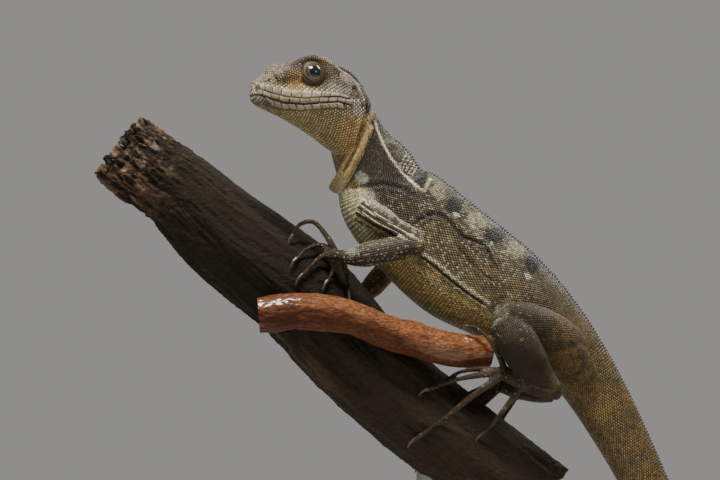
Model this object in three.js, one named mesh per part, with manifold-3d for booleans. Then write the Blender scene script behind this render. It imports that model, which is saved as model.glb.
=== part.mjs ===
// A life-size brown basilisk, a slender tropical lizard, sitting head-up on a sloping cut branch.
// The branch is carried by one rod on a round base, tall enough for the long tail to hang clear.
// Millimetres, +Z up. The head points to -X and the animal's left side faces -Y.
// The origin is the centre of the base's underside.
import * as THREE from 'three';
import { mergeVertices } from 'three/addons/utils/BufferGeometryUtils.js';
import Module from 'manifold-3d';

const wasm = await Module();
wasm.setup();

// Driving dimensions
const SNOUT_TO_VENT = 138;
const HEAD_LENGTH = 0.275 * SNOUT_TO_VENT;
const TAIL_LENGTH = 2.25 * SNOUT_TO_VENT;
const TAIL_ROOT_RADIUS = 0.06 * SNOUT_TO_VENT;
const EYE_RADIUS = 0.095 * HEAD_LENGTH;
const BRANCH_RADIUS = 14;
const STEM_RADIUS = 5;
const BASE_RADIUS = 64;
const BASE_HEIGHT = 10;
const ROD_RADIUS = 4;
const TAIL_CLEARANCE = 10;
const GAP = 0.3;

// The head is turned towards the viewer's side, lifted a little and tipped.
const HEAD_TURN = THREE.MathUtils.degToRad(33);
const HEAD_LIFT = THREE.MathUtils.degToRad(5);
const HEAD_TIP = THREE.MathUtils.degToRad(8);

const LEFT = new THREE.Vector3(0, -1, 0);
const DOWN = new THREE.Vector3(0, 0, -1);
const BACK = new THREE.Vector3(1, 0, 0);

// Solids and meshes

/** A closed three.js geometry as a solid that can be joined and cut. */
function solidFrom(geometry) {
  geometry.deleteAttribute('normal');
  geometry.deleteAttribute('uv');
  const merged = mergeVertices(geometry, 1e-4);
  const corners = merged.index.array;
  const kept = [];
  for (let i = 0; i < corners.length; i += 3) {
    const [a, b, c] = [corners[i], corners[i + 1], corners[i + 2]];
    if (a !== b && b !== c && c !== a) kept.push(a, b, c);
  }
  return new wasm.Manifold(new wasm.Mesh({
    numProp: 3,
    vertProperties: merged.attributes.position.array,
    triVerts: new Uint32Array(kept),
  }));
}

/** The largest closed surface of a solid, without loose scraps. */
function largest(solid) {
  return solid.decompose().sort((a, b) => b.volume() - a.volume())[0];
}

function join(...solids) {
  return solids.flat(2).reduce((whole, piece) => whole.add(piece));
}

function cut(solid, ...tools) {
  return tools.flat().reduce((rest, tool) => rest.subtract(tool), solid);
}

/** A named mesh of the largest surface of a solid, placed at its own centre. */
function meshOf(name, solid, material) {
  const { vertProperties, triVerts } = largest(solid).getMesh();
  const geometry = new THREE.BufferGeometry();
  geometry.setAttribute('position', new THREE.BufferAttribute(new Float32Array(vertProperties), 3));
  geometry.setIndex(new THREE.BufferAttribute(new Uint32Array(triVerts), 1));
  geometry.computeBoundingBox();
  const centre = geometry.boundingBox.getCenter(new THREE.Vector3());
  geometry.translate(-centre.x, -centre.y, -centre.z);
  const mesh = new THREE.Mesh(geometry, material);
  mesh.name = name;
  mesh.position.copy(centre);
  return mesh;
}

// Sweeps: a section carried along a smooth line of stations

/** Section shapes: an angle and a size (wide, rise, drop) give the distance across and up. */
const SECTIONS = {
  round: (angle, size) => [
    size.x * Math.cos(angle),
    (Math.sin(angle) > 0 ? size.y : size.z) * Math.sin(angle),
  ],
  // The trunk is narrower along the back than along the belly.
  trunk: (angle, size) => [
    size.x * Math.cos(angle) * (1 - 0.2 * Math.sin(angle)),
    (Math.sin(angle) > 0 ? size.y : size.z) * Math.sin(angle),
  ],
  // The head has a flat top, upright cheeks and a throat that narrows downwards.
  skull: (angle, size) => {
    const [c, s] = [Math.cos(angle), Math.sin(angle)];
    const taper = s > 0 ? 1 - 0.3 * s : 1 + 0.28 * s;
    const rise = s > 0 ? size.y * s ** 0.85 : size.z * s;
    return [size.x * Math.sign(c) * Math.abs(c) ** 0.8 * taper, rise];
  },
  // A branch is nearly round, with low knots that wind along it.
  bark: (angle, size) => {
    const knots = 1 + 0.025 * Math.sin(5 * angle + 1) + 0.02 * Math.sin(9 * angle + 40 * size.x);
    return [size.x * knots * Math.cos(angle), size.y * knots * Math.sin(angle)];
  },
};

/**
 * Line and sizes through stations [x, y, z, wide, rise, drop]; rise and drop follow wide if left out.
 * The frame at a share t of the line has its tangent, its left side and its up direction.
 */
class Sweep {
  constructor(stations, { side = LEFT, section = SECTIONS.round } = {}) {
    this.line = new THREE.CatmullRomCurve3(stations.map((s) => new THREE.Vector3(s[0], s[1], s[2])));
    this.sizes = new THREE.CatmullRomCurve3(stations.map(
      ([, , , wide, rise = wide, drop = rise]) => new THREE.Vector3(wide, rise, drop),
    ));
    this.side = side;
    this.section = section;
  }

  frame(t) {
    const at = this.line.getPoint(t);
    const along = this.line.getTangent(t);
    const left = this.side.clone().addScaledVector(along, -this.side.dot(along)).normalize();
    return { at, along, left, up: left.clone().cross(along), size: this.sizes.getPoint(t) };
  }

  /** The point of the surface at share t and angle, 0 at the left side and a quarter turn at the top. */
  point(t, angle, grow = 0) {
    const { at, left, up, size } = this.frame(t);
    const [across, rise] = this.section(angle, size);
    const reach = 1 + grow / Math.max(0.2, Math.hypot(across, rise));
    return at.addScaledVector(left, across * reach).addScaledVector(up, rise * reach);
  }

  /** The closed solid, with rings along the line and a rounded cap at each end. */
  solid(rings, sides, grow = 0) {
    const points = [];
    const faces = [];
    for (let i = 0; i <= rings; i++) {
      for (let j = 0; j < sides; j++) points.push(this.point(i / rings, 2 * Math.PI * j / sides, grow));
    }
    for (let i = 0; i < rings; i++) {
      for (let j = 0; j < sides; j++) {
        const [a, b] = [i * sides + j, i * sides + (j + 1) % sides];
        faces.push(a, a + sides, b + sides, a, b + sides, b);
      }
    }
    [0, 1].forEach((end) => {
      const { at, along, size } = this.frame(end);
      const bulge = (0.4 * Math.min(size.x, size.y) + grow) * (end ? 1 : -1);
      const pole = points.push(at.addScaledVector(along, bulge)) - 1;
      const first = end * rings * sides;
      for (let j = 0; j < sides; j++) {
        const [a, b] = [first + j, first + (j + 1) % sides];
        faces.push(pole, ...(end ? [b, a] : [a, b]));
      }
    });
    const geometry = new THREE.BufferGeometry().setFromPoints(points);
    geometry.setIndex(faces);
    return solidFrom(geometry);
  }
}

// Tail: headings below the horizontal integrate to a line that hangs and then lifts at its end

const TAIL_HEADINGS = [58, 66, 71, 77, 81, 80, 71, 57, 40, 24];
const TAIL_SWAY = [0, -4, -9, -11, -8, -2, 5, 10, 13, 14];

/** Tail thickness at a share of its length: a stout root that runs out to a whip. */
function tailRadius(share) {
  return TAIL_ROOT_RADIUS * (1 - share) ** 1.8 + 0.45;
}

/** Tail stations from the vent, whose height is 0 here. */
function tailStations(vent) {
  const step = TAIL_LENGTH / TAIL_HEADINGS.length;
  const at = vent.clone();
  return TAIL_HEADINGS.map((heading, i) => {
    const dip = THREE.MathUtils.degToRad(heading);
    const sway = THREE.MathUtils.degToRad(TAIL_SWAY[i]);
    at.x += step * Math.cos(dip) * Math.cos(sway);
    at.y += step * Math.cos(dip) * Math.sin(sway) + step * 0.25 * Math.sin(sway);
    at.z -= step * Math.sin(dip);
    const radius = tailRadius((i + 1) / TAIL_HEADINGS.length);
    return [at.x, at.y, at.z, 0.84 * radius, radius, radius];
  });
}

// The vent stands as high as the hanging tail needs to clear the base.
const VENT = new THREE.Vector3(42, 0, 0);
const TAIL_DROP = -Math.min(...tailStations(VENT).map(([, , z]) => z));
const VENT_HEIGHT = BASE_HEIGHT + TAIL_CLEARANCE + TAIL_DROP;

/** Stations given with heights above the vent, raised to their height above the floor. */
function raised(stations) {
  return stations.map(([x, y, z, ...size]) => [x, y, z + VENT_HEIGHT, ...size]);
}

// Spine: one sweep from inside the head to the tail's tip, parted later with thin cuts

const BODY_STATIONS = [
  [-24.5, -1.5, 75, 5.5, 6],
  [-22.6, -1, 69.5, 6.2, 7.8],
  [-20.3, -0.5, 62.4, 6.4, 9.6, 9],
  [-16.8, 0, 55.6, 7.6, 12.2, 11],
  [-13.5, 0, 47.6, 9.6, 15, 13.4],
  [-5.6, 0, 39.4, 11, 16.8, 15],
  [7.1, 0, 27.9, 12.2, 17.6, 15.6],
  [19.7, 0, 19.1, 11.4, 16.6, 13.5],
  [31.8, 0, 10, 9.4, 13.6, 10.8],
  [VENT.x, 0, 0, 7.6, 10.3, 8.8],
];
const SPINE = new Sweep(
  raised([...BODY_STATIONS, ...tailStations(VENT)]),
  { section: SECTIONS.trunk },
);
const SPINE_STEPS = BODY_STATIONS.length + TAIL_HEADINGS.length - 1;
const SPINE_RINGS = 70;
const SPINE_SIDES = 16;

/** The share of the spine's line at one of its stations. */
function spineShare(station) {
  return station / SPINE_STEPS;
}

function spineSolid(grow = 0) {
  return SPINE.solid(SPINE_RINGS, SPINE_SIDES, grow);
}

/** The part of a solid between two shares of the spine, parted with half a gap at each cut. */
function between(solid, from, to) {
  const reach = 900;
  const tools = [[from, -1], [to, 1]].filter(([share]) => share > 0 && share < 1).map(([share, way]) => {
    const { at, along } = SPINE.frame(share);
    const box = new THREE.BoxGeometry(reach, reach, reach);
    box.translate(0, 0, reach / 2 - GAP / 2);
    const turn = new THREE.Quaternion().setFromUnitVectors(new THREE.Vector3(0, 0, 1), along.multiplyScalar(way));
    box.applyQuaternion(turn);
    box.translate(at.x, at.y, at.z);
    return solidFrom(box);
  });
  return cut(solid, tools);
}

// Back scales: a low saw-toothed crest along the midline, sunk into the back

const CREST_FROM = 2.1;
const CREST_TO = 12.4;
const CREST_PITCH = 2.4;
const CREST_SCALE = { length: 2.9, width: 1.24, tallest: 1.1, lowest: 0.4, sunk: 1.2, lean: 0.35 };

function backScales() {
  const scales = [];
  const steps = 400;
  let walked = 0;
  let last = null;
  for (let i = 0; i <= steps; i++) {
    const share = spineShare(THREE.MathUtils.lerp(CREST_FROM, CREST_TO, i / steps));
    const { along, left, up, size } = SPINE.frame(share);
    const top = SPINE.point(share, Math.PI / 2);
    if (last) walked += top.distanceTo(last);
    last = top;
    if (walked < CREST_PITCH * scales.length) continue;
    const fade = THREE.MathUtils.smoothstep(1 - i / steps, 0.05, 0.5);
    const height = THREE.MathUtils.lerp(CREST_SCALE.lowest, CREST_SCALE.tallest, fade);
    const sunk = Math.min(CREST_SCALE.sunk, 0.5 * size.y);
    const cone = new THREE.ConeGeometry(1, height + sunk, 4);
    cone.rotateX(Math.PI / 2);
    cone.translate(0, 0, (height - sunk) / 2);
    const basis = new THREE.Matrix4().makeBasis(
      along.clone().multiplyScalar(0.5 * CREST_SCALE.length),
      left.clone().multiplyScalar(-0.5 * CREST_SCALE.width),
      up.clone().addScaledVector(along, CREST_SCALE.lean),
    );
    cone.applyMatrix4(basis);
    cone.translate(top.x, top.y, top.z);
    scales.push(solidFrom(cone));
  }
  return scales;
}

// Head, in its own frame: forward, left and up axes, with the snout's tip as its origin

const SNOUT = new THREE.Vector3(-52, -19.6, 77.8 + VENT_HEIGHT);
const HEAD_FRAME = (() => {
  const forward = new THREE.Vector3(
    -Math.cos(HEAD_TURN) * Math.cos(HEAD_LIFT),
    -Math.sin(HEAD_TURN) * Math.cos(HEAD_LIFT),
    Math.sin(HEAD_LIFT),
  );
  const level = new THREE.Vector3(Math.sin(HEAD_TURN), -Math.cos(HEAD_TURN), 0);
  const left = level.applyAxisAngle(forward, HEAD_TIP);
  const up = forward.clone().cross(left);
  return new THREE.Matrix4().makeBasis(forward, left, up).setPosition(SNOUT);
})();
const HEAD_LEFT = new THREE.Vector3().setFromMatrixColumn(HEAD_FRAME, 1);

/** A point of the head, given back from the snout's tip, out to the left and up from the mouth. */
function inHead(back, out, up) {
  return new THREE.Vector3(-back, out, up).applyMatrix4(HEAD_FRAME);
}

/** Stations given in the head's frame, placed in the part's frame. */
function headStations(stations) {
  return stations.map(([back, out, up, ...size]) => [...inHead(back, out, up).toArray(), ...size]);
}

const SKULL = new Sweep(headStations([
  [0.4, 0, 0.5, 1.9, 3, 1.5],
  [1.4, 0, 0, 3.1, 5.5, 2.2],
  [3.6, 0, -0.7, 4.1, 7.5, 2.6],
  [7, 0, -1.2, 5.1, 8.8, 3.1],
  [11, 0, -1.4, 6.2, 10.8, 4.1],
  [15, 0, -1.4, 7.4, 12.4, 5.6],
  [19, 0, -1.2, 8.5, 13, 7.7],
  [24, 0, -0.8, 9.6, 12.7, 10.9],
  [28.5, 0, -0.4, 10, 11.6, 13.8],
  [32.5, 0, 0, 9.2, 9.7, 15],
  [36, 0, 0, 7.2, 7, 12.5],
  [38.6, 0, 0, 4.6, 4.4, 8.5],
]), { side: HEAD_LEFT, section: SECTIONS.skull });

function skullSolid(grow = 0) {
  return SKULL.solid(22, 18, grow);
}

/** A ball of the head, squashed along the head's own axes. */
function ellipsoid(centre, radii, detail = 12) {
  const ball = new THREE.SphereGeometry(1, detail, detail * 0.75);
  ball.scale(...radii);
  ball.applyMatrix4(new THREE.Matrix4().extractRotation(HEAD_FRAME));
  ball.translate(centre.x, centre.y, centre.z);
  return solidFrom(ball);
}

/** A plate drawn in the head's back-and-up plane and given a thickness to left and right. */
function headPlate(outline, half, bevel = 0) {
  const shape = new THREE.Shape(outline.map(([back, up]) => new THREE.Vector2(-back, up)));
  const plate = new THREE.ExtrudeGeometry(shape, {
    depth: 2 * half,
    bevelEnabled: bevel > 0,
    bevelThickness: bevel,
    bevelSize: bevel,
    bevelSegments: 1,
  });
  plate.translate(0, 0, -half);
  plate.rotateX(Math.PI / 2);
  plate.applyMatrix4(HEAD_FRAME);
  return solidFrom(plate);
}

const EYE = { back: 0.45 * HEAD_LENGTH, out: 5.2, up: 7.3 };
const MOUTH_LINE = [
  [-2, 0.1], [1.5, -0.3], [4, -1.2], [8, -2.1], [14, -2.3], [19, -1.6], [24, -1], [29, -1.7],
];
const LIP_DEPTH = 0.8;
const LIP_HALF_GAP = 0.28;

/** The groove of the closed mouth: a thin curved slab less the shrunken skull. */
function mouthGroove() {
  const over = MOUTH_LINE.map(([back, up]) => [back, up + LIP_HALF_GAP]);
  const under = MOUTH_LINE.map(([back, up]) => [back, up - LIP_HALF_GAP]).reverse();
  return cut(headPlate([...over, ...under], 14), skullSolid(-LIP_DEPTH));
}

/** Brow: a ridge from the nostril over the eye to the temple. */
function brow(way) {
  return new Sweep(headStations([
    [6, 3 * way, 5.9, 0.5],
    [9, 4.2 * way, 7.8, 0.8],
    [12, 5.2 * way, 9.8, 1],
    [15.5, 6.1 * way, 11.5, 1.1],
    [19, 6.6 * way, 11.7, 1.1],
    [22.5, 6.9 * way, 10.4, 1],
    [26, 7.4 * way, 8.3, 0.7],
  ])).solid(7, 6);
}

/** Lids: a thin shell over the eyeball, with an almond opening that looks a little forward. */
function lids(way) {
  const centre = inHead(EYE.back, EYE.out * way, EYE.up);
  const opening = inHead(EYE.back - 1, (EYE.out + 3.5) * way, EYE.up + 0.1);
  const shell = EYE_RADIUS + 0.8;
  return cut(
    ellipsoid(centre, [1.16 * shell, shell, shell]),
    ellipsoid(opening, [2.9, 3.2, 2.45], 10),
  );
}

function buildHead() {
  const sides = [1, -1];
  const flesh = join(skullSolid(), sides.map(brow), sides.map(lids));
  const sockets = sides.map((way) => {
    const room = EYE_RADIUS + GAP;
    return ellipsoid(inHead(EYE.back, EYE.out * way, EYE.up), [room, room, room]);
  });
  const nostrils = sides.map((way) => ellipsoid(inHead(4.4, 3 * way, 4.4), [0.8, 1, 0.6], 8));
  const ears = sides.map((way) => ellipsoid(inHead(30.6, 9.7 * way, 2.6), [1.9, 1, 2.5], 8));
  return cut(flesh, sockets, nostrils, ears, mouthGroove());
}

// The small rounded crest of a hen or young animal, a thin lobe behind the head
const HEAD_CREST_OUTLINE = [
  [24, 8], [26.4, 11.6], [30, 12.4], [33, 11.3], [36.2, 8.8], [39.3, 5.6], [41.2, 2.4], [41.4, -0.6],
  [40, -3], [36, -3], [30, 4],
];

function buildHeadCrest() {
  return headPlate(HEAD_CREST_OUTLINE, 0.55, 0.35);
}

// Neck skin: the fold that hangs across the throat and climbs both sides of the neck

function throatFold(grow = 0) {
  const near = [
    [-17.4, 5.2, 69.4, 0.8], [-20.8, 6.8, 63, 1.2], [-23.8, 6.5, 57.6, 1.5], [-26, 4.2, 53.4, 1.8],
  ];
  const far = near.map(([x, y, ...rest]) => [x, -y, ...rest]).reverse();
  return new Sweep(raised([...near, [-27, 0, 51.4, 2], ...far]), { side: BACK }).solid(14, 8, grow);
}

// Branch: a thick broken length under the animal, and a thin stem that lies across it

const BRANCH = new Sweep(raised([
  [-91.5, 0, 63.4, 0.78], [-84, 0, 57.4, 0.8], [-74.1, 0, 50, 0.84], [-60.6, 0, 37.4, 0.97],
  [-37.6, 0, 19.4, 1.06], [-21.8, 0, 2.1, 1], [-3.8, 0, -14.7, 0.96], [16.2, 0, -29.7, 0.93],
  [32.4, 0, -41.5, 0.9],
].map(([x, y, z, share]) => [x, y, z, share * BRANCH_RADIUS])), { section: SECTIONS.bark });

function branchSolid(grow = 0) {
  return BRANCH.solid(20, 16, grow);
}

/**
 * The point on the branch that a viewer from the side sees at x and height z above the vent,
 * lifted off its surface; way is -1 for the near face and 1 for the far one.
 */
function onBranch(x, z, way, lift) {
  const target = new THREE.Vector2(x, z + VENT_HEIGHT);
  let nearest = null;
  for (let i = 0; i <= 200; i++) {
    const { at, size } = BRANCH.frame(i / 200);
    const away = target.distanceTo(new THREE.Vector2(at.x, at.z));
    if (!nearest || away < nearest.away) nearest = { away, radius: size.x };
  }
  const reach = nearest.radius + lift;
  const depth = Math.sqrt(Math.max(0, reach * reach - nearest.away * nearest.away));
  return [x, way * depth, z];
}

const STEM = new Sweep(raised([
  [-50, -19.6, 14.2, 1.1], [-38, -19.3, 15.2, 1.08], [-22, -17.6, 13, 1], [-8, -15.6, 7.6, 0.98],
  [6, -12.6, 4.2, 0.96], [17.2, -10, 3.4, 0.92],
].map(([x, y, z, share]) => [x, y, z, share * STEM_RADIUS])));

function stemSolid(grow = 0) {
  return STEM.solid(12, 10, grow);
}

// Limbs: each segment is its own sweep, rooted inside what carries it

function limb(stations) {
  const sweep = new Sweep(raised(stations));
  return (grow = 0) => sweep.solid(9, 10, grow);
}

const ARM_LEFT = {
  upper: limb([
    [-19, -6, 45, 4.2], [-14.7, -9.6, 42, 3.5], [-9, -13.4, 39, 2.7], [-3.6, -16.4, 36, 2.6],
  ]),
  lower: limb([
    [-2.4, -17, 35, 2.5], [-8.8, -17.4, 33.7, 3.6], [-17.9, -16.6, 31.8, 3.7], [-22, -15.6, 31, 2.9],
    [-25, -14.6, 30.8, 1.9],
  ]),
};
const ARM_RIGHT = {
  upper: limb([
    [-18, 6, 43, 4.2], [-14.5, 10, 39.5, 3.5], [-11.4, 14.2, 36, 2.8], [-8.6, 17.4, 32.8, 2.6],
  ]),
  lower: limb([
    [-8, 18, 32, 2.5], [-11.6, 18, 28, 3.5], [-16.4, 17, 22.6, 3.4], [-19.6, 15.6, 19.4, 2.5],
    [-21.6, 14.6, 17.6, 1.9],
  ]),
};
const LEG_LEFT = {
  upper: limb([
    [40, -3, 3.6, 6.6], [35, -9.5, 7.4, 7.2], [27.6, -16, 11.6, 6.2], [19.8, -21.4, 14, 4],
  ]),
  lower: limb([
    [20, -22, 12.2, 4], [24.4, -22.2, 6.8, 6], [28.4, -21.4, 0.8, 5.6], [33, -20, -4.8, 3.4],
    [36, -19.4, -7.6, 2.6],
  ]),
};
const LEG_RIGHT = {
  upper: limb([
    [40, 3, 3.6, 6.6], [36, 9.5, 6.8, 7.2], [29.6, 16, 10, 6.2], [22.4, 21, 11.8, 4],
  ]),
  lower: limb([
    [22.4, 21.8, 10.4, 4], [26.6, 22, 4.6, 6], [30.2, 21, -1.6, 5.6], [34, 19.6, -7, 3.4],
    [36, 19, -9.6, 2.6],
  ]),
};

// Hands and feet: a palm and five digits that reach the branch, each with its claw

const DIGIT_RINGS = 6;
const DIGIT_SIDES = 6;
const CLAW_RADII = [0.55, 0.45, 0.14];
const CLAW_REACH = [-0.8, 0.9, 2.3];
const CLAW_DROP = [-0.15, -0.25, 0.7];

/** One digit with knuckles that swell a little, and a curved claw rooted in its tip. */
function digit(stations, thick) {
  const last = stations.length - 1;
  const sized = stations.map(([x, y, z], i) => {
    const knuckle = i % 2 ? 1.08 : 0.95;
    return [x, y, z, thick * (1 - 0.4 * i / last) * (i === 0 ? 1.25 : knuckle)];
  });
  const tip = new THREE.Vector3(...stations[last]);
  const ahead = tip.clone().sub(new THREE.Vector3(...stations[last - 1])).normalize();
  const claw = CLAW_RADII.map((radius, i) => [
    ...tip.clone().addScaledVector(ahead, CLAW_REACH[i]).addScaledVector(DOWN, CLAW_DROP[i]).toArray(),
    radius,
  ]);
  return [
    new Sweep(raised(sized)).solid(DIGIT_RINGS, DIGIT_SIDES),
    new Sweep(raised(claw)).solid(2, 4),
  ];
}

/**
 * A digit from its root over a knuckle to the branch, way -1 on the near face and 1 on the far one.
 * Joints are [x, z, lift] on the branch as seen from the side, or [x, z, null, y] free in the air.
 */
function reaching(root, way, joints, thick) {
  const placed = joints.map(([x, z, lift, y]) => (lift === null ? [x, y, z] : onBranch(x, z, way, lift)));
  return digit([root, ...placed], thick);
}

function extremity(palm, digits) {
  return join(new Sweep(raised(palm)).solid(5, 8), digits);
}

const HAND_LEFT = extremity(
  [[-24.2, -14.8, 31.2, 1.7], [-26.2, -13.8, 31.4, 2.3, 1.7], [-28.2, -12.6, 31.2, 2.1, 1.4]],
  [
    reaching([-26.2, -14, 30.6], -1, [[-28, 28, 3], [-29, 25.6, 1.3], [-30.4, 23.4, 0.8]], 0.95),
    reaching([-28, -13, 31], -1, [[-31, 31.4, 2.4], [-34.4, 28.8, 1.6], [-37.8, 25.2, 0.8]], 0.98),
    reaching([-28.4, -12.2, 31.6], -1, [[-31.8, 34.4, 2.8], [-36, 33.4, 1.6], [-39.4, 30, 0.8]], 0.98),
    digit([[-27.6, -11.8, 32.2], [-30.6, -11, 37.4], [-34.4, -10, 41.2], [-38.2, -9.6, 40.4],
      [-40.6, -10.4, 36.6]], 0.98),
    reaching([-25.6, -12.6, 31], -1, [[-24.6, 26.4, 2.4], [-24, 23, 1.2], [-23.8, 20, 0.8]], 0.85),
  ],
);
const HAND_RIGHT = extremity(
  [[-21, 15, 18.4, 1.8], [-23, 15, 17, 2.2, 1.6], [-25, 15, 16, 2, 1.4]],
  [
    reaching([-24, 15.4, 17], 1, [[-27, 20, 1.8], [-29.6, 22.4, 1], [-32, 24.6, 0.8]], 0.95),
    reaching([-25, 15, 16.6], 1, [[-29, 18, 1.8], [-33, 19.6, 1], [-36.6, 21, 0.8]], 0.98),
    reaching([-25.4, 15, 16], 1, [[-30, 14.6, 1.8], [-34.6, 14, 1], [-38.6, 13, 0.8]], 0.98),
    reaching([-25, 15, 15.4], 1, [[-29, 11, 1.8], [-32.6, 8, 1], [-35, 5, 0.8]], 0.98),
    reaching([-23, 15, 15.4], 1, [[-23.6, 10.6, 1.8], [-24.4, 7, 1], [-25.4, 3.4, 0.8]], 0.85),
  ],
);
const FOOT_LEFT = extremity(
  [[37.4, -19.2, -8.2, 2.4], [32.6, -18.6, -7.2, 3.1, 2.9], [27, -17.8, -5, 3.2, 3], [21.8, -17, -3, 2.7, 2.2]],
  [
    digit([[21.6, -17.6, -2], [19, -17.8, 3.6], [16.4, -17.4, 7.6], [12.8, -15.8, 10.6],
      [10.2, -13.8, 10.6]], 0.95),
    reaching([20.6, -17, -2.2], -1, [[14, -1.6, null, -16], [8.5, -2.6, null, -14], [3, -6, 0.9]], 1),
    reaching([20.2, -17.4, -2.4], -1, [[12, -3.6, null, -17.5], [5, -5.6, 4.2], [-1.4, -8, 0.9]], 1.05),
    reaching([20.4, -17.6, -3.4], -1, [[12, -9.4, null, -18.5], [4.4, -15.6, 2.2], [-5, -22.6, 0.9]], 1.1),
    reaching([25.6, -18, -7.4], -1, [[21, -13.4, null, -19], [17.4, -18.4, 4.5], [14.4, -21.2, 0.9]], 0.95),
  ],
);
const FOOT_RIGHT = extremity(
  [[37, 18.6, -10.2, 2.4], [32.6, 18, -9.8, 3.1, 2.9], [27, 17.4, -8.8, 3.2, 3], [21.6, 17, -7.4, 2.7, 2.2]],
  [
    reaching([21.2, 16.6, -6], 1, [[14, -9, null, 17], [7, -12, 3.5], [1, -13, 0.9]], 0.95),
    reaching([20.6, 16.8, -6.8], 1, [[13, -12, null, 18], [4, -16, 2.5], [-4, -18, 0.9]], 1),
    reaching([20.4, 17, -7.6], 1, [[12, -14, null, 18], [3, -20, 2.5], [-6, -23, 0.9]], 1.05),
    reaching([20.6, 17.2, -8.4], 1, [[12, -17, null, 18.5], [4, -25, 2.5], [-3, -31, 0.9]], 1.1),
    reaching([26.6, 17.4, -9.6], 1, [[22, -17, null, 18.5], [19, -23, 3], [17, -29, 0.9]], 0.95),
  ],
);

// Stand: a turned base with a boss, and one rod up to the branch

const ROD_X = 0;
const BOSS_RADIUS = 9;
const BOSS_HEIGHT = 4;
const ROD_SOCKET = 6;

function buildBase() {
  const edge = 2;
  const top = BASE_HEIGHT - BOSS_HEIGHT;
  const profile = [
    [0, 0], [BASE_RADIUS - 1, 0], [BASE_RADIUS, 1], [BASE_RADIUS, top - edge], [BASE_RADIUS - edge, top],
    [BOSS_RADIUS + 1.5, top], [BOSS_RADIUS, top + 1], [BOSS_RADIUS - 1, BASE_HEIGHT], [0, BASE_HEIGHT],
  ].map(([radius, height]) => new THREE.Vector2(radius, height));
  const base = new THREE.LatheGeometry(profile, 36);
  base.rotateX(Math.PI / 2);
  const socket = new THREE.CylinderGeometry(ROD_RADIUS + GAP, ROD_RADIUS + GAP, ROD_SOCKET, 24);
  socket.rotateX(Math.PI / 2);
  socket.translate(ROD_X, 0, BASE_HEIGHT - ROD_SOCKET / 2 + 0.01);
  return cut(solidFrom(base), solidFrom(socket));
}

function buildRod() {
  const bottom = BASE_HEIGHT - ROD_SOCKET + GAP;
  const top = VENT_HEIGHT - 14;
  const rod = new THREE.CylinderGeometry(ROD_RADIUS, ROD_RADIUS, top - bottom, 24);
  rod.rotateX(Math.PI / 2);
  rod.translate(ROD_X, 0, (top + bottom) / 2);
  return cut(solidFrom(rod), branchSolid(GAP));
}

// Materials, after the photograph
const skin = new THREE.MeshStandardMaterial({ color: 0x6f6140, roughness: 0.65, metalness: 0 });
const eye = new THREE.MeshStandardMaterial({ color: 0x2a2418, roughness: 0.1, metalness: 0 });
const bark = new THREE.MeshStandardMaterial({ color: 0x2b1d14, roughness: 0.85, metalness: 0 });
const stemBark = new THREE.MeshStandardMaterial({ color: 0x6e2f18, roughness: 0.35, metalness: 0 });
const standWood = new THREE.MeshStandardMaterial({ color: 0x3a332c, roughness: 0.5, metalness: 0 });
const steel = new THREE.MeshStandardMaterial({ color: 0x8c8c8a, roughness: 0.35, metalness: 1 });

// Assembly: every node is cut clear of what it grows from
const spineGrown = spineSolid(GAP);
const skullGrown = skullSolid(GAP);
const branchGrown = branchSolid(GAP);
const stemGrown = stemSolid(GAP);
const spine = join(spineSolid(), backScales());
const SHOULDER = spineShare(3.6);
const TAIL_ROOT = spineShare(9.3);
const TAIL_CUTS = [TAIL_ROOT, spineShare(11.5), spineShare(14), spineShare(16.6), 1];

const model = new THREE.Group();
model.add(meshOf('head', buildHead(), skin));
model.add(meshOf('head_crest', cut(buildHeadCrest(), skullGrown, spineGrown), skin));
[['eye_left', 1], ['eye_right', -1]].forEach(([name, way]) => {
  const centre = inHead(EYE.back, EYE.out * way, EYE.up);
  model.add(meshOf(name, ellipsoid(centre, [EYE_RADIUS, EYE_RADIUS, EYE_RADIUS]), eye));
});
model.add(meshOf('neck', cut(between(join(spine, throatFold()), 0, SHOULDER), skullGrown), skin));
model.add(meshOf('torso', cut(between(spine, SHOULDER, TAIL_ROOT), skullGrown, throatFold(GAP)), skin));
TAIL_CUTS.slice(0, -1).forEach((from, i) => {
  model.add(meshOf(`tail_${i + 1}`, between(spine, from, TAIL_CUTS[i + 1]), skin));
});

[['left', ARM_LEFT, HAND_LEFT], ['right', ARM_RIGHT, HAND_RIGHT]].forEach(([name, arm, hand]) => {
  model.add(meshOf(`upper_arm_${name}`, cut(arm.upper(), spineGrown), skin));
  model.add(meshOf(`forearm_${name}`, cut(arm.lower(), arm.upper(GAP), spineGrown), skin));
  model.add(meshOf(`hand_${name}`, cut(hand, arm.lower(GAP), branchGrown, stemGrown), skin));
});
[['left', LEG_LEFT, FOOT_LEFT], ['right', LEG_RIGHT, FOOT_RIGHT]].forEach(([name, leg, foot]) => {
  model.add(meshOf(`thigh_${name}`, cut(leg.upper(), spineGrown), skin));
  model.add(meshOf(`shin_${name}`, cut(leg.lower(), leg.upper(GAP), spineGrown), skin));
  model.add(meshOf(`foot_${name}`, cut(foot, leg.lower(GAP), leg.upper(GAP), branchGrown, stemGrown), skin));
});

model.add(meshOf('branch', branchSolid(), bark));
model.add(meshOf('branch_stem', cut(stemSolid(), branchGrown), stemBark));
model.add(meshOf('stand_base', buildBase(), standWood));
model.add(meshOf('stand_rod', buildRod(), steel));

export default model;
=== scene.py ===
"""A life-size brown basilisk, a slender tropical lizard, sitting head-up on a cut sloping branch.

Shapes are worked out in millimetres and become metres when a mesh is made. Lists of stations
and lines give heights above the vent. The head points to -X, the left side faces -Y, up is +Z.
"""

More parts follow.
